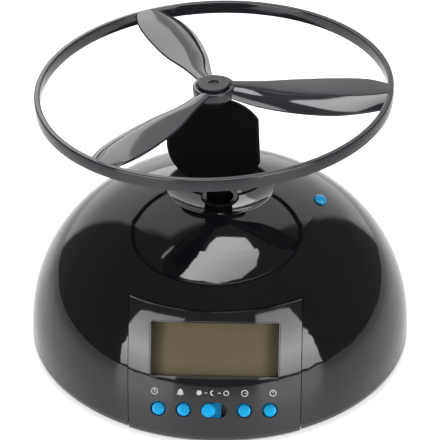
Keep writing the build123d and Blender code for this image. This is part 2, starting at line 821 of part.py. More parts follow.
# ---------------------------------------------------------------- base plate
bay_opening = (2 * bay_half_width, bay_length)
door_size = (bay_opening[0] + 2 * door_ledge, bay_opening[1] + 2 * door_ledge)
with BuildPart() as base_plate:
    with BuildSketch(Plane.XY.offset(base_bottom)):
        Circle(base_radius)
    extrude(amount=base_thickness)
    # Battery bay walls and roof
    with BuildSketch(Plane.XY.offset(base_bottom)):
        with Locations((0, bay_middle)):
            Rectangle(bay_opening[0] + 2 * bay_wall, bay_opening[1] + 2 * bay_wall)
    extrude(amount=bay_roof + bay_wall - base_bottom)
    with BuildSketch(Plane.XY.offset(base_bottom)):
        with Locations((0, bay_middle)):
            Rectangle(*bay_opening)
    extrude(amount=bay_roof - base_bottom, mode=Mode.SUBTRACT)
    with BuildSketch(Plane.XY.offset(base_bottom)):
        with Locations((0, bay_middle)):
            RectangleRounded(*door_size, door_corner)
        with Locations(door_screw_spot):
            Circle(door_tab_radius + door_gap)
    extrude(amount=door_thickness, mode=Mode.SUBTRACT)
    with BuildSketch(Plane.XY.offset(door_top)):
        with Locations(door_screw_spot):
            Circle(door_boss_radius)
            Circle(board_screw_radius + screw_gap, mode=Mode.SUBTRACT)
    extrude(amount=door_screw_length)
    with BuildSketch(Plane.XY.offset(door_top)):
        with Locations(door_screw_spot):
            Circle(board_screw_radius + screw_gap)
    extrude(amount=base_thickness, mode=Mode.SUBTRACT)
    # Lower bearing post
    with BuildSketch(Plane.XY.offset(base_top)):
        Circle(post_radius)
    extrude(amount=spindle_foot + 2 * bush_length - base_top)
    with BuildSketch(Plane.XY.offset(base_top)):
        Circle(bush_radius)
    extrude(amount=spindle_foot + 2 * bush_length - base_top, mode=Mode.SUBTRACT)
    # Speaker ring and grille
    with BuildSketch(Plane.XY.offset(base_top)):
        with Locations(speaker_spot):
            Circle(speaker_radius + speaker_gap + speaker_wall)
            Circle(speaker_radius + speaker_gap, mode=Mode.SUBTRACT)
    extrude(amount=speaker_wall_height)
    with BuildSketch(Plane.XY.offset(base_bottom)):
        for row in range(grille_slots):
            across = (row - (grille_slots - 1) / 2) * grille_pitch
            half = math.sqrt((speaker_radius - speaker_wall) ** 2 - across**2) - grille_slot_width
            with Locations((speaker_spot[0] + across, speaker_spot[1])):
                SlotOverall(2 * half, grille_slot_width, rotation=90)
    extrude(amount=base_thickness, mode=Mode.SUBTRACT)
    # Foot recesses
    with BuildSketch(Plane.XY.offset(base_bottom)):
        with Locations(*foot_spots):
            Circle(foot_radius + screw_gap)
    extrude(amount=foot_recess, mode=Mode.SUBTRACT)
    # Housing screws, countersunk from below
    with Locations(*[(x, y, base_bottom) for x, y in screw_spots]):
        Cylinder(
            screw_head_radius + screw_gap,
            screw_head_height,
            align=(Align.CENTER, Align.CENTER, Align.MIN),
            mode=Mode.SUBTRACT,
        )
        Cylinder(
            screw_radius + screw_gap,
            base_thickness,
            align=(Align.CENTER, Align.CENTER, Align.MIN),
            mode=Mode.SUBTRACT,
        )
    # Gearbox leg screws
    with Locations(*[(x, y, base_bottom) for x, y in leg_spots]):
        Cylinder(
            leg_screw_head_radius + screw_gap,
            leg_screw_head_height,
            align=(Align.CENTER, Align.CENTER, Align.MIN),
            mode=Mode.SUBTRACT,
        )
        Cylinder(
            leg_screw_radius + screw_gap,
            base_thickness,
            align=(Align.CENTER, Align.CENTER, Align.MIN),
            mode=Mode.SUBTRACT,
        )
base_plate.part.label = "base_plate"
export_step(base_plate.part, "parts/base_plate.step")

with BuildPart() as rubber_feet:
    with Locations(*[(x, y, 0) for x, y in foot_spots]):
        Cylinder(
            foot_radius, base_bottom + foot_recess, align=(Align.CENTER, Align.CENTER, Align.MIN)
        )
    chamfer(edges().group_by(Axis.Z)[0], edge_bevel)
rubber_feet.part.label = "rubber_feet"
export_step(rubber_feet.part, "parts/rubber_feet.step")

with BuildPart() as housing_screws:
    with Locations(*[(x, y, base_bottom) for x, y in screw_spots]):
        Cylinder(
            screw_head_radius, screw_head_height, align=(Align.CENTER, Align.CENTER, Align.MIN)
        )
        Cylinder(screw_radius, screw_length, align=(Align.CENTER, Align.CENTER, Align.MIN))
housing_screws.part.label = "housing_screws"
export_step(housing_screws.part, "parts/housing_screws.step")

# ---------------------------------------------------------------- battery bay contents
with BuildPart() as battery_cells:
    for index, across in enumerate(cell_spots):
        facing = 1 if index % 2 else -1
        body_plane = Plane(
            origin=(across, bay_middle - facing * (cell_length + cell_nub_length) / 2, cell_height),
            z_dir=(0, facing, 0),
        )
        with BuildSketch(body_plane):
            Circle(cell_radius)
        extrude(amount=cell_length)
        with BuildSketch(body_plane.offset(cell_length)):
            Circle(cell_nub_radius)
        extrude(amount=cell_nub_length)
battery_cells.part.label = "battery_cells"
export_step(battery_cells.part, "parts/battery_cells.step")

# Each contact is a strip standing at the bay's end wall, with a tongue pressed towards its cell.
with BuildPart() as battery_contacts:
    for across in cell_spots:
        for end in (-1, 1):
            wall_side = bay_middle + end * (bay_length / 2 - contact_thickness / 2)
            tongue = contact_space - contact_thickness - screw_gap
            with Locations((across, wall_side, cell_height)):
                Box(2 * contact_half_width, contact_thickness - 2 * contact_gap, 2 * contact_half_width)
            tongue_middle = wall_side - end * (contact_thickness + tongue - contact_gap) / 2
            with Locations((across, tongue_middle, cell_height)):
                Box(2 * cell_nub_radius, tongue + contact_gap, contact_thickness)
battery_contacts.part.label = "battery_contacts"
export_step(battery_contacts.part, "parts/battery_contacts.step")

with BuildPart() as battery_door:
    with BuildSketch(Plane.XY.offset(base_bottom)):
        with Locations((0, bay_middle)):
            RectangleRounded(door_size[0] - 2 * door_gap, door_size[1] - 2 * door_gap, door_corner)
        with Locations(door_screw_spot):
            Circle(door_tab_radius)
            Circle(board_screw_radius + screw_gap, mode=Mode.SUBTRACT)
    extrude(amount=door_thickness - screw_gap)
    with BuildSketch(Plane.XY.offset(base_bottom)):
        with Locations(door_screw_spot):
            Circle(board_screw_head_radius + screw_gap)
    extrude(amount=door_screw_head_height, mode=Mode.SUBTRACT)
battery_door.part.label = "battery_door"
export_step(battery_door.part, "parts/battery_door.step")

with BuildPart() as door_screw:
    with BuildSketch(Plane.XY.offset(base_bottom)):
        with Locations(door_screw_spot):
            Circle(board_screw_head_radius)
    extrude(amount=door_screw_head_height)
    with BuildSketch(Plane.XY.offset(base_bottom)):
        with Locations(door_screw_spot):
            Circle(board_screw_radius)
    extrude(amount=door_screw_length)
door_screw.part.label = "door_screw"
export_step(door_screw.part, "parts/door_screw.step")

# ---------------------------------------------------------------- speaker
with BuildPart() as speaker:
    with BuildSketch(Plane.XY.offset(base_top)):
        with Locations(speaker_spot):
            Circle(speaker_radius)
    extrude(amount=speaker_rim_height)
    with BuildSketch(Plane.XY.offset(base_top)):
        with Locations(speaker_spot):
            Circle(speaker_radius - speaker_wall)
    extrude(amount=speaker_cone_depth, mode=Mode.SUBTRACT)
    with BuildSketch(Plane.XY.offset(base_top + speaker_rim_height)):
        with Locations(speaker_spot):
            Circle(speaker_magnet_radius)
    extrude(amount=speaker_height - speaker_rim_height)
speaker.part.label = "speaker"
export_step(speaker.part, "parts/speaker.step")

# ---------------------------------------------------------------- gearbox frame
with BuildPart() as gearbox_frame:
    with BuildSketch(Plane.XY.offset(deck_height)):
        with BuildLine():
            Polyline(leg_spots[0], leg_spots[1], leg_spots[2], roof_leg_spot, close=True)
        make_face()
        offset(amount=leg_radius)
    extrude(amount=deck_thickness)
    with BuildSketch(Plane.XY.offset(base_top)):
        with Locations(*leg_spots):
            Circle(leg_radius)
    extrude(amount=deck_height - base_top)
    with BuildSketch(Plane.XY.offset(bay_roof + bay_wall)):
        with Locations(roof_leg_spot):
            Circle(leg_radius)
    extrude(amount=deck_height - bay_roof - bay_wall)
    with BuildSketch(Plane.XY.offset(deck_height)):
        Circle(bush_radius)
        with Locations(motor_spot):
            Circle(motor_nose_radius + screw_gap)
    extrude(amount=deck_thickness, mode=Mode.SUBTRACT)
    with BuildSketch(Plane.XY.offset(base_top)):
        with Locations(*leg_spots):
            Circle(leg_screw_radius + screw_gap)
    extrude(amount=leg_screw_length, mode=Mode.SUBTRACT)
gearbox_frame.part.label = "gearbox_frame"
export_step(gearbox_frame.part, "parts/gearbox_frame.step")

with BuildPart() as frame_screws:
    with Locations(*[(x, y, base_bottom) for x, y in leg_spots]):
        Cylinder(
            leg_screw_head_radius, leg_screw_head_height, align=(Align.CENTER, Align.CENTER, Align.MIN)
        )
        Cylinder(leg_screw_radius, leg_screw_length, align=(Align.CENTER, Align.CENTER, Align.MIN))
frame_screws.part.label = "frame_screws"
export_step(frame_screws.part, "parts/frame_screws.step")

# ---------------------------------------------------------------- motor and gears
with BuildPart() as drive_motor:
    with BuildSketch(Plane.XY.offset(deck_height - motor_length)):
        with Locations(motor_spot):
            Circle(motor_radius)
            Rectangle(
                4 * motor_radius,
                2 * motor_flat_half_width,
                rotation=motor_direction,
                mode=Mode.INTERSECT,
            )
    extrude(amount=motor_length)
    with BuildSketch(Plane.XY.offset(deck_height)):
        with Locations(motor_spot):
            Circle(motor_nose_radius)
    extrude(amount=motor_nose_height)
    with BuildSketch(Plane.XY.offset(deck_height - motor_length)):
        with Locations(motor_spot):
            Circle(motor_nose_radius)
    extrude(amount=-motor_end_height)
    with BuildSketch(Plane.XY.offset(deck_height - motor_length)):
        with Locations(motor_spot):
            Circle(motor_shaft_radius + running_gap)
    extrude(amount=motor_length + motor_nose_height, mode=Mode.SUBTRACT)
drive_motor.part.label = "drive_motor"
export_step(drive_motor.part, "parts/drive_motor.step")


def half_tooth(teeth, radius):
    """Half a tooth's angle at a radius, by the involute of the pressure angle."""
    pitch = gear_module * teeth / 2
    base = pitch * math.cos(math.radians(pressure_angle))
    at_pitch = math.pi / (2 * teeth) - backlash / (4 * pitch)
    rolled = math.tan(math.radians(pressure_angle)) - math.radians(pressure_angle)
    here = math.acos(min(base / radius, 1.0))
    return at_pitch + rolled - (math.tan(here) - here)


def tooth_outline(teeth, turned):
    """Corners of one tooth, from inside the root up one flank and down the other."""
    pitch = gear_module * teeth / 2
    flank = []
    for rise in tooth_rises:
        radius = pitch + rise * gear_module
        flank.append((radius, half_tooth(teeth, radius)))
    corners = [(r, turned - a) for r, a in flank] + [(r, turned + a) for r, a in reversed(flank)]
    return [(r * math.cos(a), r * math.sin(a)) for r, a in corners]


motor_bearing = math.radians(motor_direction)
with BuildPart() as drive_gear:
    with BuildSketch(Plane.XY.offset(gear_height)):
        Circle(gear_radius - tooth_root * gear_module)
        for tooth in range(gear_teeth):
            with BuildLine():
                turned = motor_bearing + 2 * math.pi * tooth / gear_teeth
                Polyline(*tooth_outline(gear_teeth, turned), close=True)
            make_face()
    extrude(amount=gear_thickness)
    with BuildSketch(Plane.XY.offset(gear_height + gear_thickness)):
        Circle(hub_gear_radius)
    extrude(amount=cup_underside - gear_height - gear_thickness)
    with BuildSketch(Plane.XY.offset(gear_height)):
        Circle(spindle_radius + running_gap)
    extrude(amount=cup_underside - gear_height, mode=Mode.SUBTRACT)
drive_gear.part.label = "drive_gear"
export_step(drive_gear.part, "parts/drive_gear.step")

with BuildPart() as motor_pinion:
    with BuildSketch(Plane.XY.offset(gear_height - running_gap)):
        with Locations(motor_spot):
            Circle(pinion_radius - tooth_root * gear_module)
        for tooth in range(pinion_teeth):
            with BuildLine():
                turned = motor_bearing + math.pi + 2 * math.pi * (tooth + 0.5) / pinion_teeth
                corners = tooth_outline(pinion_teeth, turned)
                Polyline(*[(motor_spot[0] + x, motor_spot[1] + y) for x, y in corners], close=True)
            make_face()
    extrude(amount=gear_thickness + 2 * running_gap)
    with BuildSketch(Plane.XY.offset(gear_height - running_gap)):
        with Locations(motor_spot):
            Circle(motor_shaft_radius)
    extrude(amount=gear_thickness + 2 * running_gap, mode=Mode.SUBTRACT)
motor_pinion.part.label = "motor_pinion"
export_step(motor_pinion.part, "parts/motor_pinion.step")

with BuildPart() as motor_shaft:
    with BuildSketch(Plane.XY.offset(deck_height - motor_length)):
        with Locations(motor_spot):
            Circle(motor_shaft_radius)
    extrude(amount=gear_height + gear_thickness + 2 * running_gap - deck_height + motor_length)
motor_shaft.part.label = "motor_shaft"
export_step(motor_shaft.part, "parts/motor_shaft.step")

# ---------------------------------------------------------------- launch spindle
with BuildPart() as launch_spindle:
    with BuildSketch(Plane.XY.offset(spindle_foot)):
        Circle(spindle_radius)
    extrude(amount=cup_underside - spindle_foot)
    with BuildSketch(Plane.XY.offset(cup_underside)):
        Circle(cup_radius)
    extrude(amount=cup_top - cup_underside)
    chamfer(edges().group_by(Axis.Z)[-1], edge_bevel)
    with BuildSketch(Plane.XY.offset(socket_floor)):
        Circle(stem_radius + socket_gap)
    extrude(amount=socket_depth, mode=Mode.SUBTRACT)
    with BuildSketch(Plane.XY.offset(socket_floor)):
        Rectangle(2 * (tang_half_width + tang_gap), 2 * (tang_half_thickness + tang_gap))
    extrude(amount=-tang_length - tang_gap, mode=Mode.SUBTRACT)
launch_spindle.part.label = "launch_spindle"
export_step(launch_spindle.part, "parts/launch_spindle.step")

with BuildPart() as lower_bush:
    with BuildSketch(Plane.XY.offset(spindle_foot + bush_length)):
        Circle(bush_radius)
        Circle(spindle_radius + running_gap, mode=Mode.SUBTRACT)
    extrude(amount=bush_length)
lower_bush.part.label = "lower_bush"
export_step(lower_bush.part, "parts/lower_bush.step")

with BuildPart() as upper_bush:
    with BuildSketch(Plane.XY.offset(deck_height)):
        Circle(bush_radius)
        Circle(spindle_radius + running_gap, mode=Mode.SUBTRACT)
    extrude(amount=deck_thickness)
    with BuildSketch(Plane.XY.offset(deck_height + deck_thickness)):
        Circle(bush_flange_radius)
        Circle(spindle_radius + running_gap, mode=Mode.SUBTRACT)
    extrude(amount=bush_flange)
upper_bush.part.label = "upper_bush"
export_step(upper_bush.part, "parts/upper_bush.step")


# ---------------------------------------------------------------- flyer
def leaned(piece):
    """The flyer's pieces are drawn upright, and all lean about one point in the socket."""
    return piece.rotate(Axis((0, 0, lean_pivot), (0, 1, 0)), -flyer_lean)


with BuildPart() as upright_key:
    # Bow: a round flat plate, trimmed on one side
    with BuildSketch(Plane.XZ):
        with Locations((0, bow_height)):
            Circle(bow_radius)
        with Locations(((bow_flat_offset - bow_radius) / 2, bow_height)):
            Rectangle(bow_radius + bow_flat_offset, 2 * bow_radius, mode=Mode.INTERSECT)
    extrude(amount=bow_half_thickness, both=True)
    chamfer(faces().filter_by(Axis.Y).edges(), bow_bevel)
    # Stem, with the tang that the spindle turns
    with BuildSketch(Plane.XY.offset(socket_floor + stem_rest_gap)):
        Circle(stem_radius)
    extrude(amount=bow_height - bow_radius + bow_half_thickness - socket_floor - stem_rest_gap)
    with BuildSketch(Plane.XY.offset(socket_floor + stem_rest_gap)):
        Rectangle(2 * tang_half_width, 2 * tang_half_thickness)
    extrude(amount=-tang_length)
    # Neck under the rotor, with the peg that holds the hub
    with BuildSketch(Plane.XY.offset(bow_height + bow_radius - bow_half_thickness)):
        Circle(neck_radius)
    extrude(amount=hub_underside - bow_height - bow_radius + bow_half_thickness)
    with BuildSketch(Plane.XY.offset(hub_underside)):
        Circle(peg_radius)
        Rectangle(2 * peg_radius, 2 * peg_half_width, mode=Mode.INTERSECT)
    extrude(amount=peg_length)
    with BuildSketch(Plane.XY.offset(hub_underside + peg_length)):
        Circle(rotor_screw_radius + screw_gap)
    extrude(amount=-rotor_screw_length, mode=Mode.SUBTRACT)
launch_key = leaned(upright_key.part)
launch_key.label = "launch_key"
export_step(launch_key, "parts/launch_key.step")

ring_inner_radius = ring_radius - ring_thickness
with BuildPart() as blade:
    for station in blade_stations:
        reach, nose, crease, flap, nose_drop, crease_drop, flap_drop = station
        top = hub_top
        with BuildSketch(Plane(origin=(reach, 0, 0), x_dir=(0, 1, 0), z_dir=(1, 0, 0))):
            with BuildLine():
                nose_edge = (nose, top - nose_drop)
                crease_edge = (crease, top - crease_drop)
                flap_edge = (flap, top - flap_drop)
                under_flap = (flap + 0.35 * blade_thickness, top - flap_drop - 0.6 * blade_thickness)
                under_crease = (crease + 0.4 * blade_thickness, top - crease_drop - blade_thickness)
                under_nose = (nose - 0.1 * blade_thickness, top - nose_drop - 0.7 * blade_thickness)
                Line(under_nose, nose_edge)
                Line(nose_edge, crease_edge)
                Line(crease_edge, flap_edge)
                Line(flap_edge, under_flap)
                Line(under_flap, under_crease)
                Line(under_crease, under_nose)
            make_face()
    loft()

with BuildPart() as upright_rotor:
    # Ring, its edges broken
    with BuildSketch(Plane.XY.offset(ring_underside)):
        Circle(ring_radius)
        Circle(ring_inner_radius, mode=Mode.SUBTRACT)
    extrude(amount=ring_height)
    chamfer(edges().filter_by(GeomType.CIRCLE), ring_bevel)
    # Hub with a tapered foot and a groove round the cap's seat
    with BuildSketch(Plane.XZ):
        with BuildLine():
            Polyline(
                (0, hub_underside),
                (hub_radius - hub_taper, hub_underside),
                (hub_radius, hub_underside + hub_taper),
                (hub_radius, hub_top),
                (hub_cap_radius + hub_groove_width, hub_top),
                (hub_cap_radius + hub_groove_width, hub_top - hub_groove_depth),
                (0, hub_top - hub_groove_depth),
                close=True,
            )
        make_face()
    revolve(axis=Axis.Z)
    with PolarLocations(0, blade_count, start_angle=blade_azimuth):
        add(blade.part)
    with BuildSketch(Plane.XY.offset(hub_underside)):
        Circle(peg_radius + peg_gap)
        Rectangle(2 * (peg_radius + peg_gap), 2 * (peg_half_width + peg_gap), mode=Mode.INTERSECT)
    extrude(amount=peg_length + peg_gap, mode=Mode.SUBTRACT)
    with BuildSketch(Plane.XY.offset(hub_underside)):
        Circle(rotor_screw_radius + screw_gap)
    extrude(amount=hub_height, mode=Mode.SUBTRACT)
ring_rotor = leaned(upright_rotor.part)
ring_rotor.label = "ring_rotor"
export_step(ring_rotor, "parts/ring_rotor.step")

cap_floor = hub_top - hub_groove_depth
cap_top = hub_top + hub_cap_height
screw_head_top = cap_top - rotor_screw_recess
with BuildPart() as upright_cap:
    with BuildSketch(Plane.XY.offset(cap_floor)):
        Circle(hub_cap_radius)
    extrude(amount=cap_top - cap_floor)
    chamfer(edges().group_by(Axis.Z)[-1], edge_bevel / 2)
    with BuildSketch(Plane.XY.offset(screw_head_top - rotor_screw_head_height)):
        Circle(hub_cap_hole)
    extrude(amount=hub_cap_height + hub_groove_depth, mode=Mode.SUBTRACT)
    with BuildSketch(Plane.XY.offset(cap_floor)):
        Circle(rotor_screw_radius + screw_gap)
    extrude(amount=hub_cap_height, mode=Mode.SUBTRACT)
hub_cap = leaned(upright_cap.part)
hub_cap.label = "hub_cap"
export_step(hub_cap, "parts/hub_cap.step")

with BuildPart() as upright_screw:
    with BuildSketch(Plane.XY.offset(screw_head_top)):
        Circle(rotor_screw_head_radius)
    extrude(amount=-rotor_screw_head_height)
    with BuildSketch(Plane.XY.offset(screw_head_top)):
        Circle(rotor_screw_radius)
    extrude(amount=-rotor_screw_length)
rotor_screw = leaned(upright_screw.part)
rotor_screw.label = "rotor_screw"
export_step(rotor_screw, "parts/rotor_screw.step")
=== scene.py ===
import bpy
import bmesh
import math
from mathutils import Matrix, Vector
from mathutils.bvhtree import BVHTree


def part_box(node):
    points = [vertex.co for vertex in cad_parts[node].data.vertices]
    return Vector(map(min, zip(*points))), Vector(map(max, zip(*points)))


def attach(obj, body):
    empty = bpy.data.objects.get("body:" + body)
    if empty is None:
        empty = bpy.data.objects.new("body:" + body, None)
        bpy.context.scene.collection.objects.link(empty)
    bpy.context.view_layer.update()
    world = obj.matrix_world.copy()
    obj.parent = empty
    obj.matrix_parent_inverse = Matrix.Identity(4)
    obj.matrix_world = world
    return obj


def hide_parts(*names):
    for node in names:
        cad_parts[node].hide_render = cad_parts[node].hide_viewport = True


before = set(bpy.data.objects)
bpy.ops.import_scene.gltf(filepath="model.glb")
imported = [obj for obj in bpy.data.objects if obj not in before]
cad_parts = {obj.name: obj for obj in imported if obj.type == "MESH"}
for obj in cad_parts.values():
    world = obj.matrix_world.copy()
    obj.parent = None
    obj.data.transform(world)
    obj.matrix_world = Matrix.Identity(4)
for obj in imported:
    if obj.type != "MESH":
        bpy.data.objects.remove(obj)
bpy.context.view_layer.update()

MM = 0.001

# ---------------------------------------------------------------- camera and studio sizes
# The camera stands at the photograph's view: a long lens, looking down at the display.
CAMERA_DISTANCE = 0.900
CAMERA_AZIMUTH = 1.8
CAMERA_ELEVATION = 32.9
CAMERA_AIM = Vector((0.0, 0.0, 0.04607))
CAMERA_LENS = 217.2
CAMERA_SENSOR = 36.0

# Studio, in metres and degrees. A direction is an azimuth from straight in front, positive to the
# right, and an elevation. The light cards and their levels are seen in gloss only.
FLOOR_HALF = 4.0
TABLE_RADIUS = 0.50  # a glossy white table; past its edge a mirror sees the dark room
TABLE_EDGE = 0.02
TABLE_COLOUR = (0.87, 0.85, 0.87, 1.0)
TABLE_ROUGHNESS = 0.34
TABLE_LIFT = 0.66  # what the camera sees on top of the lit table, up to white
TABLE_SHINE = (1.0, 0.97, 1.0, 1.0)
TABLE_SHINE_REACH = (0.12, 0.28)  # distances between which the table's shine in mirrors falls
TABLE_SHINE_LEVELS = (0.50, 0.10)
CARD_DISTANCE = 2.5
# Overhead softbox with cut corners, seen from below: right and back per unit of height.
SOFTBOX_CORNERS = (
    (-0.033, 0.325), (0.165, 0.343), (0.275, 0.209), (0.291, 0.0), (0.194, -0.194),
    (0.0, -0.291), (-0.262, -0.229), (-0.378, -0.153), (-0.292, -0.032), (-0.16, 0.128),
)
SOFTBOX_LEVELS = (8.9, 5.4)  # back left to front right
SOFTBOX_ALONG = (0.8, -0.6, 0.0)
SOFTBOX_REACH = (-0.10, 0.24)
STREAK_CORNERS = (
    (-104.0, 62.8), (-104.0, 64.6), (-125.0, 67.2), (-146.0, 68.8), (-165.0, 70.4), (-165.0, 69.8),
    (-146.0, 67.3), (-125.0, 65.2),
)
STREAK_LEVEL = 3.0
FRONT_BOXES = (
    ((-56.5, -2.0), (-58.0, 6.0), (-59.0, 14.0), (-59.7, 21.0), (-59.4, 30.0), (-58.8, 37.0),
     (-47.0, 40.6), (-26.0, 44.2), (-23.0, -0.6)),
    ((23.9, -0.6), (22.0, 15.0), (30.7, 46.1), (57.6, 41.0), (58.2, 30.0), (59.6, 19.0),
     (61.2, 8.0), (62.0, -2.0)),
)
FRONT_LEVELS = ((-3.0, 4.6), (4.0, 5.8), (15.0, 8.0), (22.0, 6.8), (30.0, 5.0), (40.0, 3.8))
FRONT_BOTTOM = -0.1  # height per unit of distance where the front boxes' levels start
BACKDROP_HALF_ANGLE = math.radians(38.5)
BACKDROP_MIDDLE = math.radians(-3.0)  # from straight behind, negative to the left
BACKDROP_SIDE_EDGE = 0.04
BACKDROP_TOP = math.radians(61.0)
BACKDROP_TOP_EDGE = 0.02
BACKDROP_LEVEL = 1.15
REAR_BOX = ((-174.6, 10.0), (-174.2, 41.0), (-163.0, 41.0), (-163.0, 10.0))
REAR_LEVEL = 3.3
HORIZON_LEVEL = 0.4  # more, close to the horizon
HORIZON_REACH = math.radians(18.0)
ROOM_LEVEL = 0.17
# Plain light for everything that isn't a mirror: close to level 1 in all on a flat surface.
TOP_LAMP = (0.62, 1.1, 0.70)  # side, height and level
FRONT_LAMP = (0.5, 1.1, 0.20)  # side, distance and level of each
FRONT_LAMP_DIRECTIONS = {"left": (-42.0, 22.0), "right": (42.0, 22.0)}
FILL = 0.25

# ---------------------------------------------------------------- the part's sizes, from part.py
TILT = math.radians(30.0)
RIM = 0.8
ROW_UP = -20.76
WINDOW_UP = -0.84
WINDOW_HALF = (20.8, 8.8)
BUTTON_OFFSETS = {
    "time_button": -18.2, "alarm_button": -9.9, "hour_button": 9.9, "minute_button": 18.2,
}
BUTTON_RADIUS = 2.3
BUTTON_FACE = 2.15
BUTTON_HOLE = 2.65
BUTTON_STEM = 2.1
BUTTON_LENGTH = 8.0
BUTTON_PROBE = 2.95  # radius at which the panel's height round the hole is felt
DOME_BUTTON_AXIS = (-0.400962, 0.0, -0.916095)
DOME_BUTTON_TOP = (34.10, 0.0, 55.48)
SEAM = 28.325  # half width to the middle of the seam beside the front panel
SEAM_HALF = 0.09
SEAM_DEPTHS = (0.7, 1.9)
PANEL_TOP = 43.2
LEAN = math.radians(-2.2)
LEAN_PIVOT = 44.52
HUB_RADIUS = 6.95
HUB_UNDERSIDE = 94.6
HUB_TOP = 98.8
HUB_BORE = 2.2
GROOVE = (5.8, 98.1)  # outer radius and floor of the groove round the cap
RING_RADIUS = 59.1
RING_THICKNESS = 2.0
RING_UNDERSIDE = 94.5
SCREW_FACE = 1.2
SCREWS = {  # head radius and places
    "housing": (2.7, ((34.07, 40.59), (-34.07, 40.59), (-34.07, -40.59), (34.07, -40.59))),
    "frame": (2.3, ((-27.04, 9.0), (-24.49, -18.47), (9.0, -11.0))),
}
DOOR_SCREW = (12.0, 1.2)
DOOR_SCREW_RADIUS = 1.9
ROTOR_SCREW_TOP = 99.3
ROTOR_SCREW_RADIUS = 1.6
BLADE_AZIMUTHS = (-6.7, 113.3, 233.3)
BLADE_THICKNESS = 1.0
# Distance out; nose edge, crease and flap edge across the blade; their drops below the top face;
# and the flap's slope in degrees at the crease. Read off the photograph.
BLADE_STATIONS = (
    (5.9, 3.2, 0.8, -3.0, -0.1, -0.2, 2.8, 12.0),
    (15.0, 4.4, 0.7, -5.1, 0.2, 0.1, 4.3, 12.0),
    (27.0, 7.1, -1.5, -8.1, 0.5, 0.0, 4.2, 14.0),
    (40.0, 8.3, -2.5, -9.4, 0.2, -0.2, 3.8, 19.0),
    (50.0, 8.0, -2.0, -8.05, -0.1, -0.2, 3.15, 19.0),
    (58.1, 5.7, 0.0, -5.0, 0.1, -0.2, 2.9, 20.0),
)


# ---------------------------------------------------------------- sizes that only the looks have
RING_SEGMENTS, HUB_SEGMENTS, HEAD_SEGMENTS, BUTTON_SEGMENTS = 180, 72, 40, 48
RING_ROUND = 0.45
HUB_ROUND = 0.35
BLADE_STEPS = 30
NOSE_POINTS, FLAP_POINTS = 7, 15
NOSE_SWELL = 0.045
EDGE_ROUND = 0.35
RECESS_DEPTH = 0.175
TRIM_GAP = 0.35
TRIM_CORNER = 1.6
TRIM_BEAD = (0.16, 0.10)  # half width and height
TRIM_PITCH = 0.8
MARK_UP = ROW_UP + 5.9
MARK_PLACES = {"time": -19.4, "alarm": -10.9, "mode": -0.4, "hour": 10.0, "minute": 19.2}
PRINT_PROUD, PRINT_SUNK = 0.04, 0.03


# ---------------------------------------------------------------- node helpers
def new_material(name):
    """An empty node material with its shader and output, and its node tree."""
    material = bpy.data.materials.new(name)
    material.use_nodes = True
    tree = material.node_tree
    shader = tree.nodes["Principled BSDF"]
    return material, tree, shader


def noise(tree, scale, detail=3.0, roughness=0.5):
    """Noise over the object's own space, in features per metre."""
    place = tree.nodes.new("ShaderNodeTexCoord")
    texture = tree.nodes.new("ShaderNodeTexNoise")
    texture.inputs["Scale"].default_value = scale
    texture.inputs["Detail"].default_value = detail
    texture.inputs["Roughness"].default_value = roughness
    tree.links.new(place.outputs["Object"], texture.inputs["Vector"])
    return texture.outputs["Fac"]


def spread(tree, value, low, high):
    """Maps 0 to 1 onto low to high."""
    node = tree.nodes.new("ShaderNodeMapRange")
    node.inputs["To Min"].default_value = low
    node.inputs["To Max"].default_value = high
    tree.links.new(value, node.inputs["Value"])
    return node.outputs["Result"]


def mixed(tree, factor, first, second):
    """Blends two colours by a factor."""
    node = tree.nodes.new("ShaderNodeMix")
    node.data_type = "RGBA"
    node.inputs["A"].default_value = (*first, 1.0)
    node.inputs["B"].default_value = (*second, 1.0)
    tree.links.new(factor, node.inputs["Factor"])
    return node.outputs["Result"]


def bump(tree, shader, height, depth):
    """Adds a bump of a depth in metres."""
    node = tree.nodes.new("ShaderNodeBump")
    node.inputs["Distance"].default_value = depth
    node.inputs["Strength"].default_value = 1.0
    tree.links.new(height, node.inputs["Height"])
    tree.links.new(node.outputs["Normal"], shader.inputs["Normal"])


def maths(tree, operation, *values):
    """A math node on numbers or on other nodes' outputs."""
    node = tree.nodes.new("ShaderNodeMath")
    node.operation = operation
    for socket, value in zip(node.inputs, values):
        if isinstance(value, (int, float)):
            socket.default_value = value
        else:
            tree.links.new(value, socket)
    return node.outputs[0]


def eased(tree, value, start, end, low=0.0, high=1.0):
    """Maps start to end onto low to high, with soft ends."""
    node = tree.nodes.new("ShaderNodeMapRange")
    node.interpolation_type = "SMOOTHSTEP"
    node.inputs["From Min"].default_value = start
    node.inputs["From Max"].default_value = end
    node.inputs["To Min"].default_value = low
    node.inputs["To Max"].default_value = high
    tree.links.new(value, node.inputs["Value"])
    return node.outputs["Result"]


def plastic(name, colour, other, rough, grain, depth, specular=0.5):
    """Moulded plastic: two near shades in a soft cloud, uneven gloss and a fine moulded skin."""
    material, tree, shader = new_material(name)
    shader.inputs["Specular IOR Level"].default_value = specular
    cloud = noise(tree, 60.0)
    tree.links.new(mixed(tree, cloud, colour, other), shader.inputs["Base Color"])
    tree.links.new(spread(tree, noise(tree, 240.0, 4.0), *rough), shader.inputs["Roughness"])
    bump(tree, shader, noise(tree, grain, 5.0, 0.6), depth)
    return material


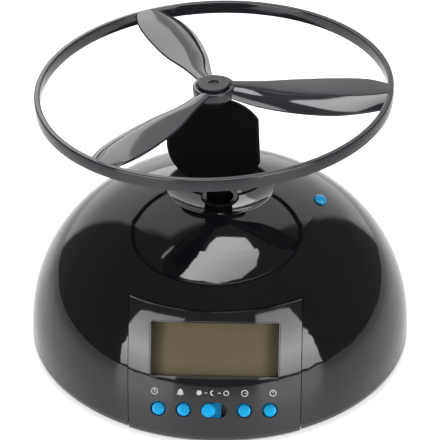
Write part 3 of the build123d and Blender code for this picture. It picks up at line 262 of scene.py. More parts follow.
def metal(name, colour, other, rough, grain_scale):
    """Machined metal with drawn grain along one axis."""
    material, tree, shader = new_material(name)
    shader.inputs["Metallic"].default_value = 1.0
    place = tree.nodes.new("ShaderNodeTexCoord")
    stretch = tree.nodes.new("ShaderNodeMapping")
    stretch.inputs["Scale"].default_value = (1.0, 1.0, 0.08)
    texture = tree.nodes.new("ShaderNodeTexNoise")
    texture.inputs["Scale"].default_value = grain_scale
    tree.links.new(place.outputs["Object"], stretch.inputs["Vector"])
    tree.links.new(stretch.outputs["Vector"], texture.inputs["Vector"])
    grain = texture.outputs["Fac"]
    tree.links.new(mixed(tree, grain, colour, other), shader.inputs["Base Color"])
    tree.links.new(spread(tree, grain, *rough), shader.inputs["Roughness"])
    bump(tree, shader, grain, 0.00001)
    return material


def display_glass(name, low, high):
    """Unpowered display: olive polariser, with painted shade from the recess walls round the
    window: darker towards its left, right and lower edges.
    """
    material, tree, shader = new_material(name)
    middle = (low + high) / 2
    half = (high - low) / 2
    place = tree.nodes.new("ShaderNodeTexCoord")
    split = tree.nodes.new("ShaderNodeSeparateXYZ")
    tree.links.new(place.outputs["Object"], split.inputs["Vector"])
    across = maths(tree, "SUBTRACT", split.outputs["X"], middle.x)
    up = maths(tree, "SUBTRACT", split.outputs["Z"], middle.z)
    # Painted shade: the recess walls' shadow, down to 0.15 of the lit colour at the window's left,
    # right and lower edges.
    edge, dark = 0.98, 0.15
    painted_side_shade = eased(tree, maths(tree, "ABSOLUTE", across), half.x * edge, half.x * 0.66, dark)
    painted_foot_shade = eased(tree, maths(tree, "MULTIPLY", up, -1.0), half.z * edge, half.z * 0.72, dark)
    painted_recess_shade = maths(tree, "MULTIPLY", painted_side_shade, painted_foot_shade)
    # The first colour is the olive in painted shade, the second the lit olive.
    colour = mixed(tree, painted_recess_shade, (0.050, 0.040, 0.020), (0.205, 0.165, 0.095))
    tree.links.new(colour, shader.inputs["Base Color"])
    tree.links.new(spread(tree, noise(tree, 3000.0), 0.35, 0.45), shader.inputs["Roughness"])
    bump(tree, shader, noise(tree, 9000.0), 0.000004)
    return material


def lens_clear(name):
    """Thin clear window: lets the display through and keeps a faint gloss."""
    material, tree, shader = new_material(name)
    shader.inputs["Base Color"].default_value = (0.98, 0.98, 0.97, 1.0)
    shader.inputs["Transmission Weight"].default_value = 1.0
    shader.inputs["IOR"].default_value = 1.12
    tree.links.new(spread(tree, noise(tree, 500.0), 0.0, 0.03), shader.inputs["Roughness"])
    return material


def cell_sleeve(name):
    """Foil sleeve of a cell: dark, with a soft metallic sheen."""
    material, tree, shader = new_material(name)
    shader.inputs["Metallic"].default_value = 0.3
    shine = spread(tree, noise(tree, 900.0), 0.25, 0.4)
    tree.links.new(shine, shader.inputs["Roughness"])
    tree.links.new(
        mixed(tree, noise(tree, 40.0), (0.03, 0.035, 0.05), (0.05, 0.055, 0.07)),
        shader.inputs["Base Color"],
    )
    return material


# ---------------------------------------------------------------- materials of the CAD nodes
gloss_black = plastic(
    "gloss_black", (0.0038, 0.0036, 0.0048), (0.0048, 0.0045, 0.0060), (0.03, 0.06), 700.0, 0.000002
)
panel_grey = plastic(
    "panel_grey", (0.0085, 0.008, 0.0098), (0.010, 0.0095, 0.0115), (0.04, 0.07), 900.0, 0.000001
)
base_black = plastic(
    "base_black", (0.010, 0.010, 0.011), (0.014, 0.014, 0.015), (0.42, 0.55), 2600.0, 0.00003
)
key_black = plastic(
    "key_black", (0.0012, 0.0012, 0.0015), (0.002, 0.002, 0.0024), (0.45, 0.55), 3000.0, 0.00001,
    specular=0.06,
)
rotor_grey = plastic(
    "rotor_grey", (0.019, 0.0195, 0.025), (0.023, 0.0235, 0.029), (0.06, 0.10), 500.0, 0.000001
)
button_blue = plastic(
    "button_blue", (0.003, 0.45, 0.93), (0.005, 0.48, 0.96), (0.25, 0.32), 2000.0, 0.000004,
    specular=0.3,
)
feet_rubber = plastic(
    "feet_rubber", (0.012, 0.012, 0.012), (0.02, 0.02, 0.02), (0.7, 0.85), 4000.0, 0.00004
)
gear_nylon = plastic(
    "gear_nylon", (0.72, 0.71, 0.66), (0.78, 0.77, 0.73), (0.38, 0.5), 1500.0, 0.00001
)
board_green = plastic(
    "board_green", (0.01, 0.09, 0.035), (0.015, 0.12, 0.045), (0.3, 0.4), 1800.0, 0.00001
)
paper_cone = plastic(
    "paper_cone", (0.02, 0.02, 0.02), (0.035, 0.034, 0.032), (0.75, 0.9), 5000.0, 0.00003
)
print_white = plastic(
    "print_white", (0.62, 0.62, 0.62), (0.68, 0.68, 0.68), (0.4, 0.5), 6000.0, 0.000002
)
screw_black = metal("screw_black", (0.030, 0.030, 0.033), (0.05, 0.05, 0.055), (0.28, 0.4), 900.0)
steel = metal("steel", (0.55, 0.55, 0.56), (0.66, 0.66, 0.67), (0.24, 0.38), 900.0)
brass = metal("brass", (0.70, 0.50, 0.20), (0.80, 0.60, 0.28), (0.22, 0.36), 900.0)

NODE_MATERIALS = {
    gloss_black: ("dome_shell", "launch_spindle"),
    panel_grey: ("front_panel",),
    base_black: (
        "base_plate", "battery_door", "lcd_frame", "tact_switches", "dome_tact_switch",
    ),
    key_black: ("launch_key",),
    rotor_grey: ("ring_rotor", "hub_cap"),
    button_blue: (
        "time_button", "alarm_button", "hour_button", "minute_button", "mode_switch", "dome_button",
    ),
    feet_rubber: ("rubber_feet", "zebra_strips"),
    gear_nylon: ("gearbox_frame", "drive_gear"),
    board_green: ("circuit_board", "dome_button_board"),
    paper_cone: ("speaker",),
    steel: (
        "board_screws", "slide_switch", "dome_board_screws", "housing_screws", "battery_contacts",
        "frame_screws", "drive_motor", "motor_shaft", "door_screw",
    ),
    screw_black: ("rotor_screw",),
    brass: ("lower_bush", "upper_bush", "motor_pinion"),
    lens_clear("lens_clear"): ("display_window",),
    display_glass("display_glass", *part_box("lcd_panel")): ("lcd_panel",),
    cell_sleeve("cell_sleeve"): ("battery_cells",),
}
for material, names in NODE_MATERIALS.items():
    for name in names:
        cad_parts[name].data.materials.clear()
        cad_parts[name].data.materials.append(material)


# ---------------------------------------------------------------- piece helpers
def piece(name, bm, material, body, replaced=()):
    """Makes a piece from a bmesh in millimetres, puts it on what it rides on, and hides the nodes
    that it replaces.
    """
    bm.normal_update()
    bmesh.ops.recalc_face_normals(bm, faces=bm.faces)
    bmesh.ops.scale(bm, vec=(MM, MM, MM), verts=bm.verts)
    mesh = bpy.data.meshes.new(name)
    bm.to_mesh(mesh)
    bm.free()
    mesh.materials.append(material)
    made = bpy.data.objects.new(name, mesh)
    bpy.context.scene.collection.objects.link(made)
    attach(made, body)
    if replaced:
        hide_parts(*replaced)
    return made


def smoothed(made, angle=30.0):
    """Smooth shading that keeps edges sharper than the angle."""
    for polygon in made.data.polygons:
        polygon.use_smooth = True
    made.data.set_sharp_from_angle(angle=math.radians(angle))


def skin(bm, loops, closed=True, caps=True):
    """Joins rings of equal length into a tube, closed on itself or capped, and returns them."""
    rings = [[bm.verts.new(point) for point in loop] for loop in loops]
    count = len(rings[0])
    for first, second in zip(rings, rings[1:]):
        for i in range(count):
            j = (i + 1) % count
            bm.faces.new((first[i], first[j], second[j], second[i]))
    if closed:
        for i in range(count):
            j = (i + 1) % count
            bm.faces.new((rings[-1][i], rings[-1][j], rings[0][j], rings[0][i]))
    elif caps:
        bm.faces.new(rings[0])
        bm.faces.new(list(reversed(rings[-1])))
    return rings


def turned(profile, segments, place):
    """Rings of points of a profile of radius and height, each put in place."""
    loops = []
    for radius, height in profile:
        loops.append([
            place(radius * math.cos(2 * math.pi * k / segments),
                  radius * math.sin(2 * math.pi * k / segments), height)
            for k in range(segments)
        ])
    return loops


def rounded_box(x0, x1, y0, y1, radius, steps=4):
    """Outline of a rectangle with rounded corners, counter-clockwise."""
    points = []
    corners = ((x1, y1, 0.0), (x0, y1, 90.0), (x0, y0, 180.0), (x1, y0, 270.0))
    for x, y, start in corners:
        cx = x - math.copysign(radius, x - (x0 + x1) / 2)
        cy = y - math.copysign(radius, y - (y0 + y1) / 2)
        for i in range(steps + 1):
            turn = math.radians(start + 90.0 * i / steps)
            points.append((cx + radius * math.cos(turn), cy + radius * math.sin(turn)))
    return points


NORMAL = Vector((0.0, -math.cos(TILT), math.sin(TILT)))
UP = Vector((0.0, math.sin(TILT), math.cos(TILT)))
ACROSS = Vector((1.0, 0.0, 0.0))


def surface(node):
    """A CAD node's mesh in millimetres, to cast rays on."""
    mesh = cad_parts[node].data
    corners = [vertex.co / MM for vertex in mesh.vertices]
    return BVHTree.FromPolygons(corners, [list(face.vertices) for face in mesh.polygons])


panel_surface = surface("front_panel")
shell_surface = surface("dome_shell")


def facing(x, up, height):
    """A point by its place across and up the display, and its height along the display's normal."""
    return Vector((0.0, 0.0, RIM)) + ACROSS * x + UP * up + NORMAL * height


def panel_height(x, up, default=None):
    """How high the front panel's surface stands along the display's normal."""
    hit = panel_surface.ray_cast(facing(x, up, 120.0), -NORMAL)[0]
    if hit is None:
        return default
    return (hit - facing(x, up, 0.0)).dot(NORMAL)


# ---------------------------------------------------------------- rotor
def leaned(x, y, z):
    """Leans a point of the upright rotor with the key."""
    cos, sin = math.cos(LEAN), math.sin(LEAN)
    z -= LEAN_PIVOT
    return Vector((x * cos + z * sin, y, LEAN_PIVOT - x * sin + z * cos))


def between(stations, distance):
    """Smooth values at a distance, through the stations (Catmull-Rom)."""
    reach = [station[0] for station in stations]
    k = max(i for i in range(len(reach) - 1) if reach[i] <= distance or i == 0)
    low, high = stations[k], stations[k + 1]
    before = stations[k - 1] if k else low
    after = stations[k + 2] if k + 2 < len(stations) else high
    span = high[0] - low[0]
    t = (distance - low[0]) / span
    values = []
    for i in range(1, len(low)):
        slope_low = (high[i] - before[i]) / (high[0] - before[0]) * span
        slope_high = (after[i] - low[i]) / (after[0] - low[0]) * span
        values.append(
            (2 * t**3 - 3 * t**2 + 1) * low[i] + (t**3 - 2 * t**2 + t) * slope_low
            + (3 * t**2 - 2 * t**3) * high[i] + (t**3 - t**2) * slope_high
        )
    return values


def blade_section(distance):
    """Outline of a blade across its length: flat nose, soft crease, rounded flap, and underside."""
    nose, crease, flap, nose_drop, crease_drop, flap_drop, slope = between(BLADE_STATIONS, distance)
    nose_edge = Vector((nose, HUB_TOP - nose_drop))
    ridge = Vector((crease, HUB_TOP - crease_drop))
    edge = Vector((flap, HUB_TOP - flap_drop))
    start = math.radians(slope)
    chord = math.atan2(ridge.y - edge.y, ridge.x - edge.x)
    end = max(2 * chord - start, start + 0.02)
    # Where the slopes from both ends of the flap meet
    run, drop = ridge.x - edge.x, ridge.y - edge.y
    part = (run * math.tan(end) - drop) / (math.tan(end) - math.tan(start))
    bend = ridge + Vector((-part, -part * math.tan(start)))
    top = []
    for i in range(NOSE_POINTS):
        t = i / (NOSE_POINTS - 1)
        swell = NOSE_SWELL * (nose - crease) * t * (1 - t)
        point = nose_edge.lerp(ridge, t * 0.93)
        top.append(Vector((point.x, point.y + swell)))
    for i in range(FLAP_POINTS):
        t = 0.05 + 0.95 * i / (FLAP_POINTS - 1)
        top.append((1 - t) ** 2 * ridge + 2 * t * (1 - t) * bend + t * t * edge)
    # Underside: the same line, moved in by the thickness, with rounded ends
    under = []
    for i, point in enumerate(top):
        ahead = top[min(i + 1, len(top) - 1)] - top[max(i - 1, 0)]
        inward = Vector((ahead.y, -ahead.x)).normalized()
        if inward.y > 0:
            inward = -inward
        under.append(point + inward * BLADE_THICKNESS)
    flap_tip = (top[-1] + under[-1]) / 2 + (top[-1] - top[-2]).normalized() * EDGE_ROUND
    nose_tip = (top[0] + under[0]) / 2 + (top[0] - top[1]).normalized() * EDGE_ROUND
    return [*top, flap_tip, *reversed(under), nose_tip]


def rotor():
    """The ring, the hub with its groove and the three blades, leaned with the key."""
    bm = bmesh.new()
    inner = RING_RADIUS - RING_THICKNESS
    section = rounded_box(inner, RING_RADIUS, RING_UNDERSIDE, HUB_TOP, RING_ROUND)
    skin(bm, turned(section, RING_SEGMENTS, leaned))
    fillet = [(HUB_RADIUS - HUB_ROUND + HUB_ROUND * math.sin(math.radians(a)),
               HUB_TOP - HUB_ROUND + HUB_ROUND * math.cos(math.radians(a)))
              for a in (90, 67.5, 45, 22.5, 0)]
    hub = [(HUB_BORE, HUB_UNDERSIDE), (HUB_RADIUS - 1.0, HUB_UNDERSIDE),
           (HUB_RADIUS - 0.25, HUB_UNDERSIDE + 0.45), (HUB_RADIUS, HUB_UNDERSIDE + 1.0)]
    hub += fillet + [(GROOVE[0] + 0.1, HUB_TOP), (GROOVE[0], HUB_TOP - 0.12), GROOVE,
                     (HUB_BORE, GROOVE[1])]
    skin(bm, turned(hub, HUB_SEGMENTS, leaned))
    first, last = BLADE_STATIONS[0][0], BLADE_STATIONS[-1][0]
    for azimuth in BLADE_AZIMUTHS:
        cos, sin = math.cos(math.radians(azimuth)), math.sin(math.radians(azimuth))
        loops = []
        for i in range(BLADE_STEPS + 1):
            distance = first + (last - first) * i / BLADE_STEPS
            loops.append([leaned(distance * cos - p.x * sin, distance * sin + p.x * cos, p.y)
                          for p in blade_section(distance)])
        skin(bm, loops, closed=False)
    made = piece("rotor_skin", bm, rotor_grey, "flyer", ("ring_rotor",))
    smoothed(made, 35.0)


rotor()


# ---------------------------------------------------------------- screw heads with a cross recess
def screw_head(name, centre, out, radius, body, material, proud=0.22):
    """A slightly domed head with a tapered cross recess, on the flat end of a CAD screw."""
    out = Vector(out).normalized()
    side = out.orthogonal().normalized()
    other = out.cross(side)
    centre = Vector(centre)

    def place(x, y, height):
        return centre + side * x + other * y + out * height

    bm = bmesh.new()
    profile = [(radius, -0.05), (radius, 0.04), (radius - 0.06, proud * 0.6),
               (radius * 0.82, proud)]
    rings = skin(bm, turned(profile, HEAD_SEGMENTS, place), closed=False, caps=False)
    arm, wide = radius * 0.58, radius * 0.15
    cross = [(wide, wide), (arm, wide), (arm, -wide), (wide, -wide), (wide, -arm), (-wide, -arm),
             (-wide, -wide), (-arm, -wide), (-arm, wide), (-wide, wide), (-wide, arm), (wide, arm)]
    mouth = [bm.verts.new(place(x, y, proud)) for x, y in cross]
    edges = [bm.edges.new((mouth[i], mouth[(i + 1) % 12])) for i in range(12)]
    rim_edges = [bm.edges.get((rings[-1][i], rings[-1][(i + 1) % HEAD_SEGMENTS]))
                 for i in range(HEAD_SEGMENTS)]
    bmesh.ops.triangle_fill(bm, use_beauty=True, edges=rim_edges + edges)
    for face in list(bm.faces):
        if all(vert in mouth for vert in face.verts):
            bm.faces.remove(face)
    floor_ring = [bm.verts.new(place(x * 0.45, y * 0.45, proud - RECESS_DEPTH)) for x, y in cross]
    for i in range(12):
        j = (i + 1) % 12
        bm.faces.new((mouth[i], mouth[j], floor_ring[j], floor_ring[i]))
    bm.faces.new(floor_ring)
    bm.faces.new(rings[0])
    smoothed(piece(name, bm, material, body), 25.0)


DOWN = (0, 0, -1)
for group, (radius, spots) in SCREWS.items():
    for index, (x, y) in enumerate(spots):
        head = f"{group}_screw_head_{index + 1}"
        screw_head(head, (x, y, SCREW_FACE), DOWN, radius, "base", steel)
screw_head("door_screw_head", (*DOOR_SCREW, SCREW_FACE), DOWN, DOOR_SCREW_RADIUS, "battery_door",
           steel)
rotor_screw_top = leaned(0, 0, ROTOR_SCREW_TOP)
screw_head("rotor_screw_head", rotor_screw_top, leaned(0, 0, ROTOR_SCREW_TOP + 2) - rotor_screw_top,
           ROTOR_SCREW_RADIUS, "flyer", screw_black, proud=0.12)


# ---------------------------------------------------------------- buttons
def button(name, x):
    """A push button turned about its own axis, with a collar that follows the hole's edge."""
    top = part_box(name)[1].z / MM
    face = (top - RIM - (ROW_UP + BUTTON_RADIUS) * math.cos(TILT)) / math.sin(TILT)

    def place(across, up, height):
        return facing(x + across, ROW_UP + up, face + height)

    shape = [(0.4, 0.0), (1.2, -0.02), (1.7, -0.06), (1.92, -0.14), (2.06, -0.28), (2.13, -0.46),
             (BUTTON_FACE, -0.7)]
    collar = [(BUTTON_FACE, 1.95), (BUTTON_HOLE - 0.05, 2.0), (BUTTON_HOLE - 0.05, 2.7),
              (BUTTON_FACE, 2.75)]
    bm = bmesh.new()
    loops = turned(shape, BUTTON_SEGMENTS, place)
    for radius, below in collar:
        ring = []
        for k in range(BUTTON_SEGMENTS):
            turn = 2 * math.pi * k / BUTTON_SEGMENTS
            cos, sin = math.cos(turn), math.sin(turn)
            height = panel_height(x + BUTTON_PROBE * cos, ROW_UP + BUTTON_PROBE * sin, face)
            ring.append(facing(x + radius * cos, ROW_UP + radius * sin,
                               min(height - below, face - 0.72 - below * 0.1)))
        loops.append(ring)
    loops += turned([(BUTTON_STEM, -BUTTON_LENGTH)], BUTTON_SEGMENTS, place)
    skin(bm, loops, closed=False)
    made = piece(f"{name}_cap", bm, button_blue, name, (name,))
    smoothed(made, 40.0)


for name, x in BUTTON_OFFSETS.items():
    button(name, x)


def dome_button():
    """The round-topped button on the dome's right shoulder."""
    axis = -Vector(DOME_BUTTON_AXIS).normalized()
    top = Vector(DOME_BUTTON_TOP)
    side = axis.cross(Vector((0.0, 1.0, 0.0))).normalized()
    other = axis.cross(side)

    def place(x, y, height):
        return top + side * x + other * y + axis * height

    shape = [(0.15, 0.80), (0.75, 0.76), (1.3, 0.60), (1.75, 0.28), (2.05, -0.1), (2.18, -0.5),
             (2.2, -1.0), (2.2, -3.6), (3.0, -3.7), (3.0, -4.5), (1.0, -4.6), (1.0, -5.4)]
    bm = bmesh.new()
    skin(bm, turned(shape, BUTTON_SEGMENTS, place), closed=False)
    made = piece("dome_button_cap", bm, button_blue, "dome_button", ("dome_button",))
    smoothed(made, 40.0)


dome_button()


# ---------------------------------------------------------------- marks over the buttons
def disc(x, up, outer, inner=0.0, segments=28, start=0.0, sweep=360.0):
    """Patches of a flat ring, disc or sector on the panel."""
    whole = sweep >= 360.0
    count = segments if whole else segments + 1
    angles = [math.radians(start + sweep * k / segments) for k in range(count)]
    rim_points = [(x + outer * math.cos(a), up + outer * math.sin(a)) for a in angles]
    if inner:
        core = [(x + inner * math.cos(a), up + inner * math.sin(a)) for a in angles]
        last = count if whole else count - 1
        return [[rim_points[i], rim_points[(i + 1) % count], core[(i + 1) % count], core[i]]
                for i in range(last)]
    return [rim_points]


def bar(x0, up0, x1, up1, width):
    """A straight stroke between two points."""
    run = Vector((x1 - x0, up1 - up0)).normalized() * width / 2
    return [[(x0 - run.y, up0 + run.x), (x0 + run.y, up0 - run.x),
             (x1 + run.y, up1 - run.x), (x1 - run.y, up1 + run.x)]]


def mark(name, patches):
    """Thin raised print: each patch projected onto the panel along the display's normal."""
    bm = bmesh.new()
    for patch in patches:
        heights = [panel_height(x, up, 62.0) for x, up in patch]
        top = [bm.verts.new(facing(x, up, height + PRINT_PROUD))
               for (x, up), height in zip(patch, heights)]
        low = [bm.verts.new(facing(x, up, height - PRINT_SUNK))
               for (x, up), height in zip(patch, heights)]
        bm.faces.new(top)
        bm.faces.new(list(reversed(low)))
        for i in range(len(patch)):
            j = (i + 1) % len(patch)
            bm.faces.new((top[i], top[j], low[j], low[i]))
    piece(name, bm, print_white, "base")


def clock_mark(name, hands):
    """A small clock face: a ring, and hands of a turn, a length and a width."""
    x = MARK_PLACES[name]
    patches = disc(x, MARK_UP, 1.15, 0.88)
    for turn, length, width in hands:
        angle = math.radians(90.0 - turn)
        end = (x + length * math.cos(angle), MARK_UP + length * math.sin(angle))
        patches += bar(x, MARK_UP, *end, width)
    mark(f"{name}_mark", patches)


def bell_mark():
    """A bell with its knob and clapper."""
    middle = MARK_PLACES["alarm"]
    bell = [(-1.15, -0.75), (1.15, -0.75), (1.15, -0.55), (0.85, -0.25), (0.8, 0.35), (0.5, 0.85),
            (0.15, 1.02), (-0.15, 1.02), (-0.5, 0.85), (-0.8, 0.35), (-0.85, -0.25),
            (-1.15, -0.55)]
    mark("alarm_mark", [[(middle + x, MARK_UP + up) for x, up in bell]]
         + disc(middle, MARK_UP - 0.85, 0.33, start=180.0, sweep=180.0, segments=10)
         + disc(middle, MARK_UP + 1.0, 0.25, segments=12))


def arc(x, radius, turns):
    """Points of an arc in the row of marks."""
    return [(x + radius * math.cos(math.radians(a)), MARK_UP + radius * math.sin(math.radians(a)))
            for a in turns]


def mode_mark():
    """A dot, a moon and a ring for the three places of the switch, with dashes between them."""
    middle = MARK_PLACES["mode"]
    moon = arc(middle, 0.85, range(60, 301, 20)) + arc(middle + 0.32, 0.66, range(280, 79, -20))
    mark("mode_mark", disc(middle - 4.4, MARK_UP, 0.85)
         + bar(middle - 2.7, MARK_UP, middle - 1.7, MARK_UP, 0.26)
         + [[moon[i], moon[i + 1], moon[-2 - i], moon[-1 - i]] for i in range(len(moon) // 2 - 1)]
         + bar(middle + 1.7, MARK_UP, middle + 2.7, MARK_UP, 0.26)
         + disc(middle + 4.4, MARK_UP, 0.9, 0.62))


clock_mark("time", ((0.0, 0.75, 0.26), (120.0, 0.5, 0.26)))
bell_mark()
clock_mark("hour", ((90.0, 0.55, 0.34),))
clock_mark("minute", ((0.0, 0.95, 0.22),))
mode_mark()


# ---------------------------------------------------------------- seam and window trim
def seam_tongue(name, side):
    """A dark strip deep in the seam beside the front panel, so that no light comes through."""
    bm = bmesh.new()
    loops = []
    steps = 26
    for i in range(steps + 1):
        height = RIM + 0.01 + (PANEL_TOP - RIM - 2.0) * i / steps
        start = Vector((side * (SEAM + 0.5), -90.0, height))
        hit, normal = shell_surface.ray_cast(start, Vector((0.0, 1.0, 0.0)))[:2]
        inward = -Vector((0.0, normal.y, normal.z)).normalized()
        loops.append([
            Vector((side * SEAM + across, hit.y, hit.z)) + inward * deep
            for across, deep in ((-SEAM_HALF, SEAM_DEPTHS[0]), (SEAM_HALF, SEAM_DEPTHS[0]),
                                 (SEAM_HALF, SEAM_DEPTHS[1]), (-SEAM_HALF, SEAM_DEPTHS[1]))
        ])
    skin(bm, loops, closed=False)
    piece(name, bm, base_black, "base")


seam_tongue("seam_tongue_left", -1)
seam_tongue("seam_tongue_right", 1)


def window_trim():
    """Thin rounded bead round the window opening, on the panel's surface."""
    wide, high = WINDOW_HALF
    outline = rounded_box(-wide - TRIM_GAP, wide + TRIM_GAP, WINDOW_UP - high - TRIM_GAP,
                          WINDOW_UP + high + TRIM_GAP, TRIM_CORNER, 8)
    dense = []
    for i, (x, up) in enumerate(outline):
        x1, up1 = outline[(i + 1) % len(outline)]
        steps = max(1, int(math.hypot(x1 - x, up1 - up) / TRIM_PITCH))
        dense += [(x + (x1 - x) * k / steps, up + (up1 - up) * k / steps) for k in range(steps)]
    points = [facing(x, up, panel_height(x, up, 66.0)) for x, up in dense]
    bm = bmesh.new()
    loops = []
    count = len(points)
    for i, point in enumerate(points):
        along = (points[(i + 1) % count] - points[i - 1]).normalized()
        sideways = NORMAL.cross(along).normalized()
        loops.append([
            point + sideways * TRIM_BEAD[0] * math.cos(math.radians(a))
            + NORMAL * TRIM_BEAD[1] * math.sin(math.radians(a))
            for a in range(0, 360, 45)
        ])
    skin(bm, loops)
    smoothed(piece("window_trim", bm, panel_grey, "base"), 80.0)


window_trim()


# ---------------------------------------------------------------- stage
def direction(azimuth, elevation):
    """Unit vector towards a direction in degrees."""
    azimuth, elevation = math.radians(azimuth), math.radians(elevation)
    return Vector((
        math.sin(azimuth) * math.cos(elevation),
        -math.cos(azimuth) * math.cos(elevation),
        math.sin(elevation),
    ))


def ramp_over(tree, value, stops, top):
    """A level that follows a value through stops, as a part of the top level."""
    ramp = tree.nodes.new("ShaderNodeValToRGB")
    elements = ramp.color_ramp.elements
    while len(elements) < len(stops):
        elements.new(0.5)
    for element, (place, level) in zip(elements, stops):
        element.position = place
        element.color = (level / top, level / top, level / top, 1.0)
    tree.links.new(value, ramp.inputs["Fac"])
    return ramp.outputs["Color"]


def card(name, points, shade):
    """A light card that only mirrors see. The shade gives its colour and its strength."""
    mesh = bpy.data.meshes.new(name)
    mesh.from_pydata([tuple(point) for point in points], [], [list(range(len(points)))])
    made = bpy.data.objects.new(name, mesh)
    bpy.context.scene.collection.objects.link(made)
    material = bpy.data.materials.new(name)
    material.use_nodes = True
    tree = material.node_tree
    tree.nodes.remove(tree.nodes["Principled BSDF"])
    light = tree.nodes.new("ShaderNodeEmission")
    shade(tree, light)
    tree.links.new(light.outputs["Emission"], tree.nodes["Material Output"].inputs["Surface"])
    mesh.materials.append(material)
    made.visible_camera = False
    made.visible_diffuse = False
    made.visible_shadow = False
    made.visible_transmission = False


def aimed(corners, distance=CARD_DISTANCE):
    """Corners by direction, brought onto one plane."""
    rays = [direction(*corner) for corner in corners]
    middle = sum(rays, Vector()).normalized()
    return [CAMERA_AIM + ray * distance / ray.dot(middle) for ray in rays]


def plain_shade(level):
    """A card of one level all over."""
    def shade(tree, light):
        light.inputs["Strength"].default_value = level
    return shade


def rising_shade(tree, light):
    """Brightness of the front boxes by elevation."""
    place = tree.nodes.new("ShaderNodeNewGeometry")
    split = tree.nodes.new("ShaderNodeSeparateXYZ")
    tree.links.new(place.outputs["Position"], split.inputs["Vector"])
    share = tree.nodes.new("ShaderNodeMapRange")
    share.inputs["From Min"].default_value = FRONT_BOTTOM * CARD_DISTANCE
    share.inputs["From Max"].default_value = (FRONT_BOTTOM + 1.0) * CARD_DISTANCE
    tree.links.new(split.outputs["Z"], share.inputs["Value"])
    stops = [(math.tan(math.radians(angle)) - FRONT_BOTTOM, level) for angle, level in FRONT_LEVELS]
    top = max(level for _, level in stops)
    tree.links.new(ramp_over(tree, share.outputs["Result"], stops, top), light.inputs["Color"])
    light.inputs["Strength"].default_value = top


def softbox_shade(tree, light):
    """Brightness of the overhead softbox, from its back left to its front right."""
    place = tree.nodes.new("ShaderNodeNewGeometry")
    along = tree.nodes.new("ShaderNodeVectorMath")
    along.operation = "DOT_PRODUCT"
    along.inputs[1].default_value = SOFTBOX_ALONG
    tree.links.new(place.outputs["Position"], along.inputs[0])
    level = tree.nodes.new("ShaderNodeMapRange")
    level.inputs["From Min"].default_value = SOFTBOX_REACH[0] * CARD_DISTANCE
    level.inputs["From Max"].default_value = SOFTBOX_REACH[1] * CARD_DISTANCE
    level.inputs["To Min"].default_value, level.inputs["To Max"].default_value = SOFTBOX_LEVELS
    tree.links.new(along.outputs["Value"], level.inputs["Value"])
    tree.links.new(level.outputs["Result"], light.inputs["Strength"])


card("overhead_card",
     [(x * CARD_DISTANCE, y * CARD_DISTANCE, CARD_DISTANCE) for x, y in SOFTBOX_CORNERS],
     softbox_shade)
card("overhead_streak", aimed(STREAK_CORNERS), plain_shade(STREAK_LEVEL))
card("rear_card", aimed(REAR_BOX), plain_shade(REAR_LEVEL))
for side, corners in zip(("left", "right"), FRONT_BOXES):
    card(f"front_card_{side}", aimed(corners), rising_shade)


def lamp(name, toward, size, distance, level):
    """A soft lamp for all but mirrors. Its level is what it adds on a surface that faces it."""
    data = bpy.data.lights.new(name, "AREA")
    data.shape = "SQUARE"
    data.size = size
    radiance = level * math.pi * distance ** 2 / size ** 2
    data.energy = radiance * math.pi * size ** 2
    made = bpy.data.objects.new(name, data)
    bpy.context.scene.collection.objects.link(made)
    made.location = CAMERA_AIM + toward * distance
    made.rotation_euler = toward.to_track_quat("Z", "Y").to_euler()
    made.visible_glossy = False


lamp("overhead_lamp", Vector((0.0, 0.0, 1.0)), *TOP_LAMP)
for side, toward in FRONT_LAMP_DIRECTIONS.items():
    lamp(f"front_lamp_{side}", direction(*toward), *FRONT_LAMP)


def floor_material():
    """Glossy white table, topped up to white for the camera, and a dark room past its edge."""
    material, tree, shader = new_material("white_table")
    shader.inputs["Base Color"].default_value = TABLE_COLOUR
    shader.inputs["Roughness"].default_value = TABLE_ROUGHNESS
    shader.inputs["Emission Color"].default_value = TABLE_SHINE
    path = tree.nodes.new("ShaderNodeLightPath")
    place = tree.nodes.new("ShaderNodeNewGeometry")
    length = tree.nodes.new("ShaderNodeVectorMath")
    length.operation = "LENGTH"
    tree.links.new(place.outputs["Position"], length.inputs[0])
    distance = length.outputs["Value"]
    past = eased(tree, distance, TABLE_RADIUS - TABLE_EDGE, TABLE_RADIUS + TABLE_EDGE)
    hidden = maths(tree, "MULTIPLY", path.outputs["Is Glossy Ray"], past)
    near = eased(tree, distance, *TABLE_SHINE_REACH, *TABLE_SHINE_LEVELS)
    shine = maths(tree, "MULTIPLY", path.outputs["Is Glossy Ray"], near)
    lift = maths(tree, "MULTIPLY_ADD", path.outputs["Is Camera Ray"], TABLE_LIFT, shine)
    tree.links.new(lift, shader.inputs["Emission Strength"])
    dark = tree.nodes.new("ShaderNodeBsdfTransparent")
    mix = tree.nodes.new("ShaderNodeMixShader")
    tree.links.new(hidden, mix.inputs["Fac"])
    tree.links.new(shader.outputs["BSDF"], mix.inputs[1])
    tree.links.new(dark.outputs["BSDF"], mix.inputs[2])
    tree.links.new(mix.outputs["Shader"], tree.nodes["Material Output"].inputs["Surface"])
    return material


floor_mesh = bpy.data.meshes.new("white_floor")
floor_mesh.from_pydata(
    [(x * FLOOR_HALF, y * FLOOR_HALF, 0.0) for x, y in ((-1, -1), (1, -1), (1, 1), (-1, 1))],
    [],
    [(0, 1, 2, 3)],
)
floor = bpy.data.objects.new("white_floor", floor_mesh)
bpy.context.scene.collection.objects.link(floor)
floor_mesh.materials.append(floor_material())


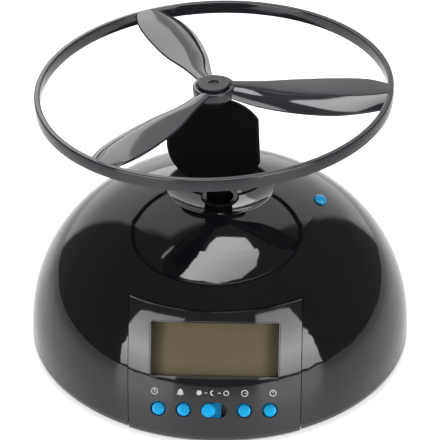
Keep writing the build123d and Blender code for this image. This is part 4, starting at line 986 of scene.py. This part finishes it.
def studio_world():
    """White for the camera. Mirrors see a white sweep behind and a dark room in front of it."""
    world = bpy.data.worlds.new("studio")
    bpy.context.scene.world = world
    world.use_nodes = True
    tree = world.node_tree
    background = tree.nodes["Background"]
    background.inputs["Color"].default_value = (1.0, 1.0, 1.0, 1.0)
    path = tree.nodes.new("ShaderNodeLightPath")
    place = tree.nodes.new("ShaderNodeTexCoord")
    split = tree.nodes.new("ShaderNodeSeparateXYZ")
    tree.links.new(place.outputs["Generated"], split.inputs["Vector"])

    azimuth = maths(tree, "ARCTAN2", split.outputs["X"], split.outputs["Y"])  # 0 is behind
    turn = maths(tree, "ABSOLUTE", maths(tree, "SUBTRACT", azimuth, BACKDROP_MIDDLE))
    beside = eased(tree, turn, BACKDROP_HALF_ANGLE + BACKDROP_SIDE_EDGE,
                   BACKDROP_HALF_ANGLE - BACKDROP_SIDE_EDGE)
    top = math.sin(BACKDROP_TOP)
    below = eased(tree, split.outputs["Z"], top + BACKDROP_TOP_EDGE, top - BACKDROP_TOP_EDGE)
    sweep = maths(tree, "MULTIPLY", beside, below)
    backdrop = BACKDROP_LEVEL - ROOM_LEVEL
    level = eased(tree, maths(tree, "ABSOLUTE", split.outputs["Z"]), 0.0, math.sin(HORIZON_REACH),
                  backdrop + HORIZON_LEVEL, backdrop)
    mirrored = maths(tree, "MULTIPLY_ADD", sweep, level, ROOM_LEVEL)
    soft = maths(tree, "MULTIPLY", path.outputs["Is Glossy Ray"], mirrored)
    plain = maths(tree, "SUBTRACT", 1.0, path.outputs["Is Glossy Ray"])
    filled = maths(tree, "MULTIPLY_ADD", plain, FILL, soft)
    strength = maths(tree, "MAXIMUM", filled, path.outputs["Is Camera Ray"])
    tree.links.new(strength, background.inputs["Strength"])


studio_world()

camera_data = bpy.data.cameras.new("camera")
camera_data.lens = CAMERA_LENS
camera_data.sensor_width = CAMERA_SENSOR
camera = bpy.data.objects.new("camera", camera_data)
bpy.context.scene.collection.objects.link(camera)
toward = direction(CAMERA_AZIMUTH, CAMERA_ELEVATION)
camera.location = CAMERA_AIM + toward * CAMERA_DISTANCE
camera.rotation_euler = toward.to_track_quat("Z", "Y").to_euler()
bpy.context.scene.camera = camera
bpy.context.scene.view_settings.view_transform = "Standard"
